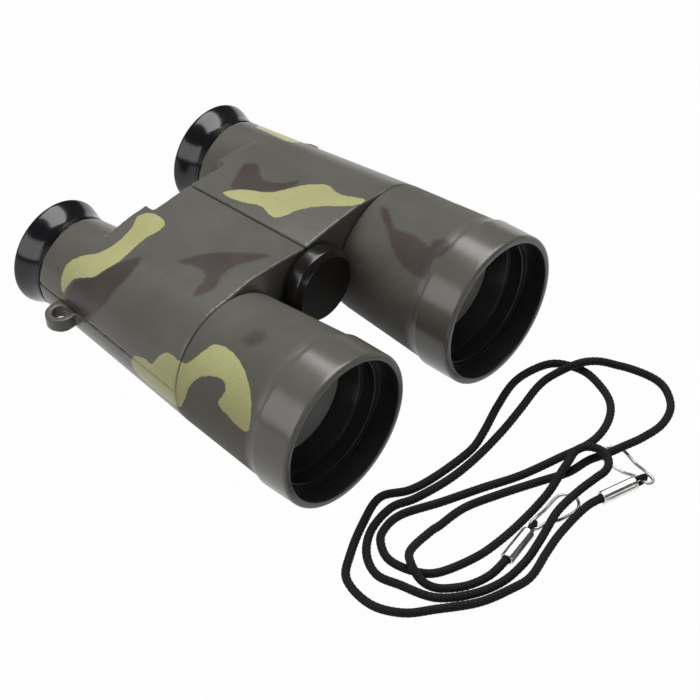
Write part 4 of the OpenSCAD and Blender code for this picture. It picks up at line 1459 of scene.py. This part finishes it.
@dataclass
class CentreHinge:
    """The knob, its washer, the axle and the cap on the axle's rear end."""

    finishes: Finishes
    segments: int = 96
    height: float = 8.5
    knob_r: float = 11.0
    knob_front: float = 35.2
    knob_rear: float = 41.0
    knob_shoulder: float = 1.5
    knob_rounds: Corner = (0.6, 1.2, 0.4)
    axle_r: float = 2.0
    axle_front: float = 36.8
    axle_rear: float = 89.85
    axle_chamfer: float = 0.3
    washer_r: float = 5.5
    washer_front: float = 41.35
    washer_t: float = 0.6
    washer_round: float = 0.15
    cap_r: float = 4.5
    cap_front: float = 87.85
    cap_length: float = 3.0
    cap_rounds: Point2 = (0.25, 0.8)
    fit: float = 0.05

    def made(self, corners: Sequence[Corner], closed: bool, material: Material) -> Mesh:
        """A piece turned about the hinge's axis, closed where it is a ring."""
        return turned(rounded(corners, closed), (0.0, self.height), closed, material, self.segments)

    def knob(self) -> Mesh:
        """The round knob: flat face, broad rounded shoulder, socket of the axle.

        Returns:
            The mesh.
        """
        front, rear, r, shoulder = self.knob_front, self.knob_rear, self.knob_r, self.knob_shoulder
        bore, (face, side, back) = self.axle_r + self.fit, self.knob_rounds
        corners = [
            (0, front, 0), (r - shoulder, front, face), (r, front + shoulder, side), (r, rear, back),
            (bore, rear, FINE), (bore, self.axle_front, 0), (0, self.axle_front, 0),
        ]
        mesh = self.made(corners, False, self.finishes.satin)
        dress_where(mesh, self.finishes.grained, STANCE.drawn(points_of(mesh))[:, 1] < front + self.fit)
        return mesh

    def axle(self) -> Mesh:
        """The steel axle with chamfered ends.

        Returns:
            The mesh.
        """
        front, rear, r, cut = self.axle_front, self.axle_rear, self.axle_r, self.axle_chamfer
        corners = [
            (0, front, 0), (r - cut, front, FINE), (r, front + cut, FINE),
            (r, rear - cut, FINE), (r - cut, rear, FINE), (0, rear, 0),
        ]
        return self.made(corners, False, self.finishes.steel)

    def washer(self) -> Mesh:
        """The flat washer behind the knob.

        Returns:
            The mesh.
        """
        inner, r, edge = self.axle_r + self.fit, self.washer_r, self.washer_round
        front, rear = self.washer_front, self.washer_front + self.washer_t
        corners = [(inner, front, FINE), (r, front, edge), (r, rear, edge), (inner, rear, FINE)]
        return self.made(corners, True, self.finishes.steel)

    def cap(self) -> Mesh:
        """The domed cap on the axle's rear end.

        Returns:
            The mesh.
        """
        bore, front, length, r = self.axle_r + self.fit, self.cap_front, self.cap_length, self.cap_r
        edge, top = self.cap_rounds
        corners = [
            (0, self.axle_rear, 0), (bore, self.axle_rear, 0), (bore, front, FINE), (r, front, edge),
            (r, front + length / 2, top), (r - length / 3, front + length, top), (0, front + length, 0),
        ]
        return self.made(corners, False, self.finishes.satin)

    def build(self) -> None:
        """Makes the knob, the axle, the cap and the washer."""
        add_piece("centre_knob", "turned", self.knob(), "knob")
        add_piece("hinge_axle", "turned", self.axle(), "knob")
        add_piece("axle_cap", "turned", self.cap(), "knob")
        add_piece("knob_washer", "turned", self.washer(), Side.RIGHT.body)


# ---------------------------------------------------------------------------------------------- studio


@dataclass(frozen=True)
class SoftBox:
    """A rectangular lamp that looks at the object."""

    name: str
    direction: Corner
    distance: float
    size: Point2
    power: float


@dataclass
class Studio:
    """Camera, floor, lamps and world."""

    finishes: Finishes
    camera_at: Corner = (-262.05, -260.79, 358.55)
    azimuth: float = -48.561
    elevation: float = 44.737
    roll: float = 1.572
    focal_px: float = 1792.7
    image_px: float = 700
    sensor: float = 36.0
    nearest: float = 0.01
    floor_half: float = 30.0
    world: float = 0.08
    aim: Corner = (0, -10, 15)
    lamps: tuple[SoftBox, ...] = (
        SoftBox("left_softbox", (-0.78, 0.24, 0.42), 0.62, (0.5, 0.4), 1.65),
        SoftBox("top_softbox", (0.34, 0.2, 0.91), 0.9, (0.7, 0.6), 8.2),
        SoftBox("front_strip", (-0.24, -0.9, 0.28), 0.9, (0.5, 0.2), 0.6),
    )

    def place_camera(self) -> None:
        """Puts the camera where the photograph was taken from."""
        az, el, roll = (math.radians(v) for v in (self.azimuth, self.elevation, self.roll))
        back = Vector((math.cos(el) * math.sin(az), -math.cos(el) * math.cos(az), math.sin(el)))
        level = Vector((0, 0, 1)).cross(back).normalized()
        right = math.cos(roll) * level + math.sin(roll) * back.cross(level)
        turn = Matrix((right, back.cross(right), back)).transposed()
        data = bpy.data.cameras.new("photo_camera")
        data.sensor_width = self.sensor
        data.lens = self.focal_px / self.image_px * self.sensor
        data.clip_start = self.nearest
        camera = linked("photo_camera", data)
        camera.matrix_world = Matrix.Translation(Vector(self.camera_at) * MM) @ turn.to_4x4()
        bpy.context.scene.camera = camera

    def lay_floor(self) -> None:
        """Lays the table's top."""
        h = self.floor_half
        corners = np.array([(-h, -h, 0), (h, -h, 0), (h, h, 0), (-h, h, 0)])
        floor = linked("floor", mesh_from(corners, [(0, 1, 2, 3)], self.finishes.floor))

    def hang_lamps(self) -> None:
        """Hangs the soft boxes and sets the world's even light."""
        aim = Vector(self.aim) * MM
        for box in self.lamps:
            data = bpy.data.lights.new(box.name, "AREA")
            data.shape = "RECTANGLE"
            data.size, data.size_y = box.size
            data.energy = box.power
            lamp = linked(box.name, data)
            way = Vector(box.direction).normalized()
            lamp.location = aim + way * box.distance
            lamp.rotation_euler = way.to_track_quat("Z", "Y").to_euler()
        world = bpy.data.worlds.new("even_light")
        world.use_nodes = True
        sky = world.node_tree.nodes["Background"]
        sky.inputs["Color"].default_value = (1, 1, 1, 1)
        sky.inputs["Strength"].default_value = self.world
        bpy.context.scene.world = world

    def build(self) -> None:
        """Lays the floor, hangs the lamps and sets the view transform."""
        self.lay_floor()
        self.hang_lamps()
        bpy.context.scene.view_settings.view_transform = "Standard"


def main() -> None:
    """Builds the scene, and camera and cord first."""
    logging.basicConfig(level=logging.INFO, format="%(name)s: %(message)s")
    finishes = Finishes()
    studio = Studio(finishes)
    studio.place_camera()
    NeckCord(finishes, SweptTube()).build()
    camouflage, screws = Camouflage(), SetOnPoints()
    for side in Side:
        Housing(side, finishes, camouflage, screws).build()
        Objective(side, finishes, camouflage).build()
        Eyepiece(side, finishes).build()
    CentreHinge(finishes).build()
    studio.build()


if __name__ == "__main__":
    main()
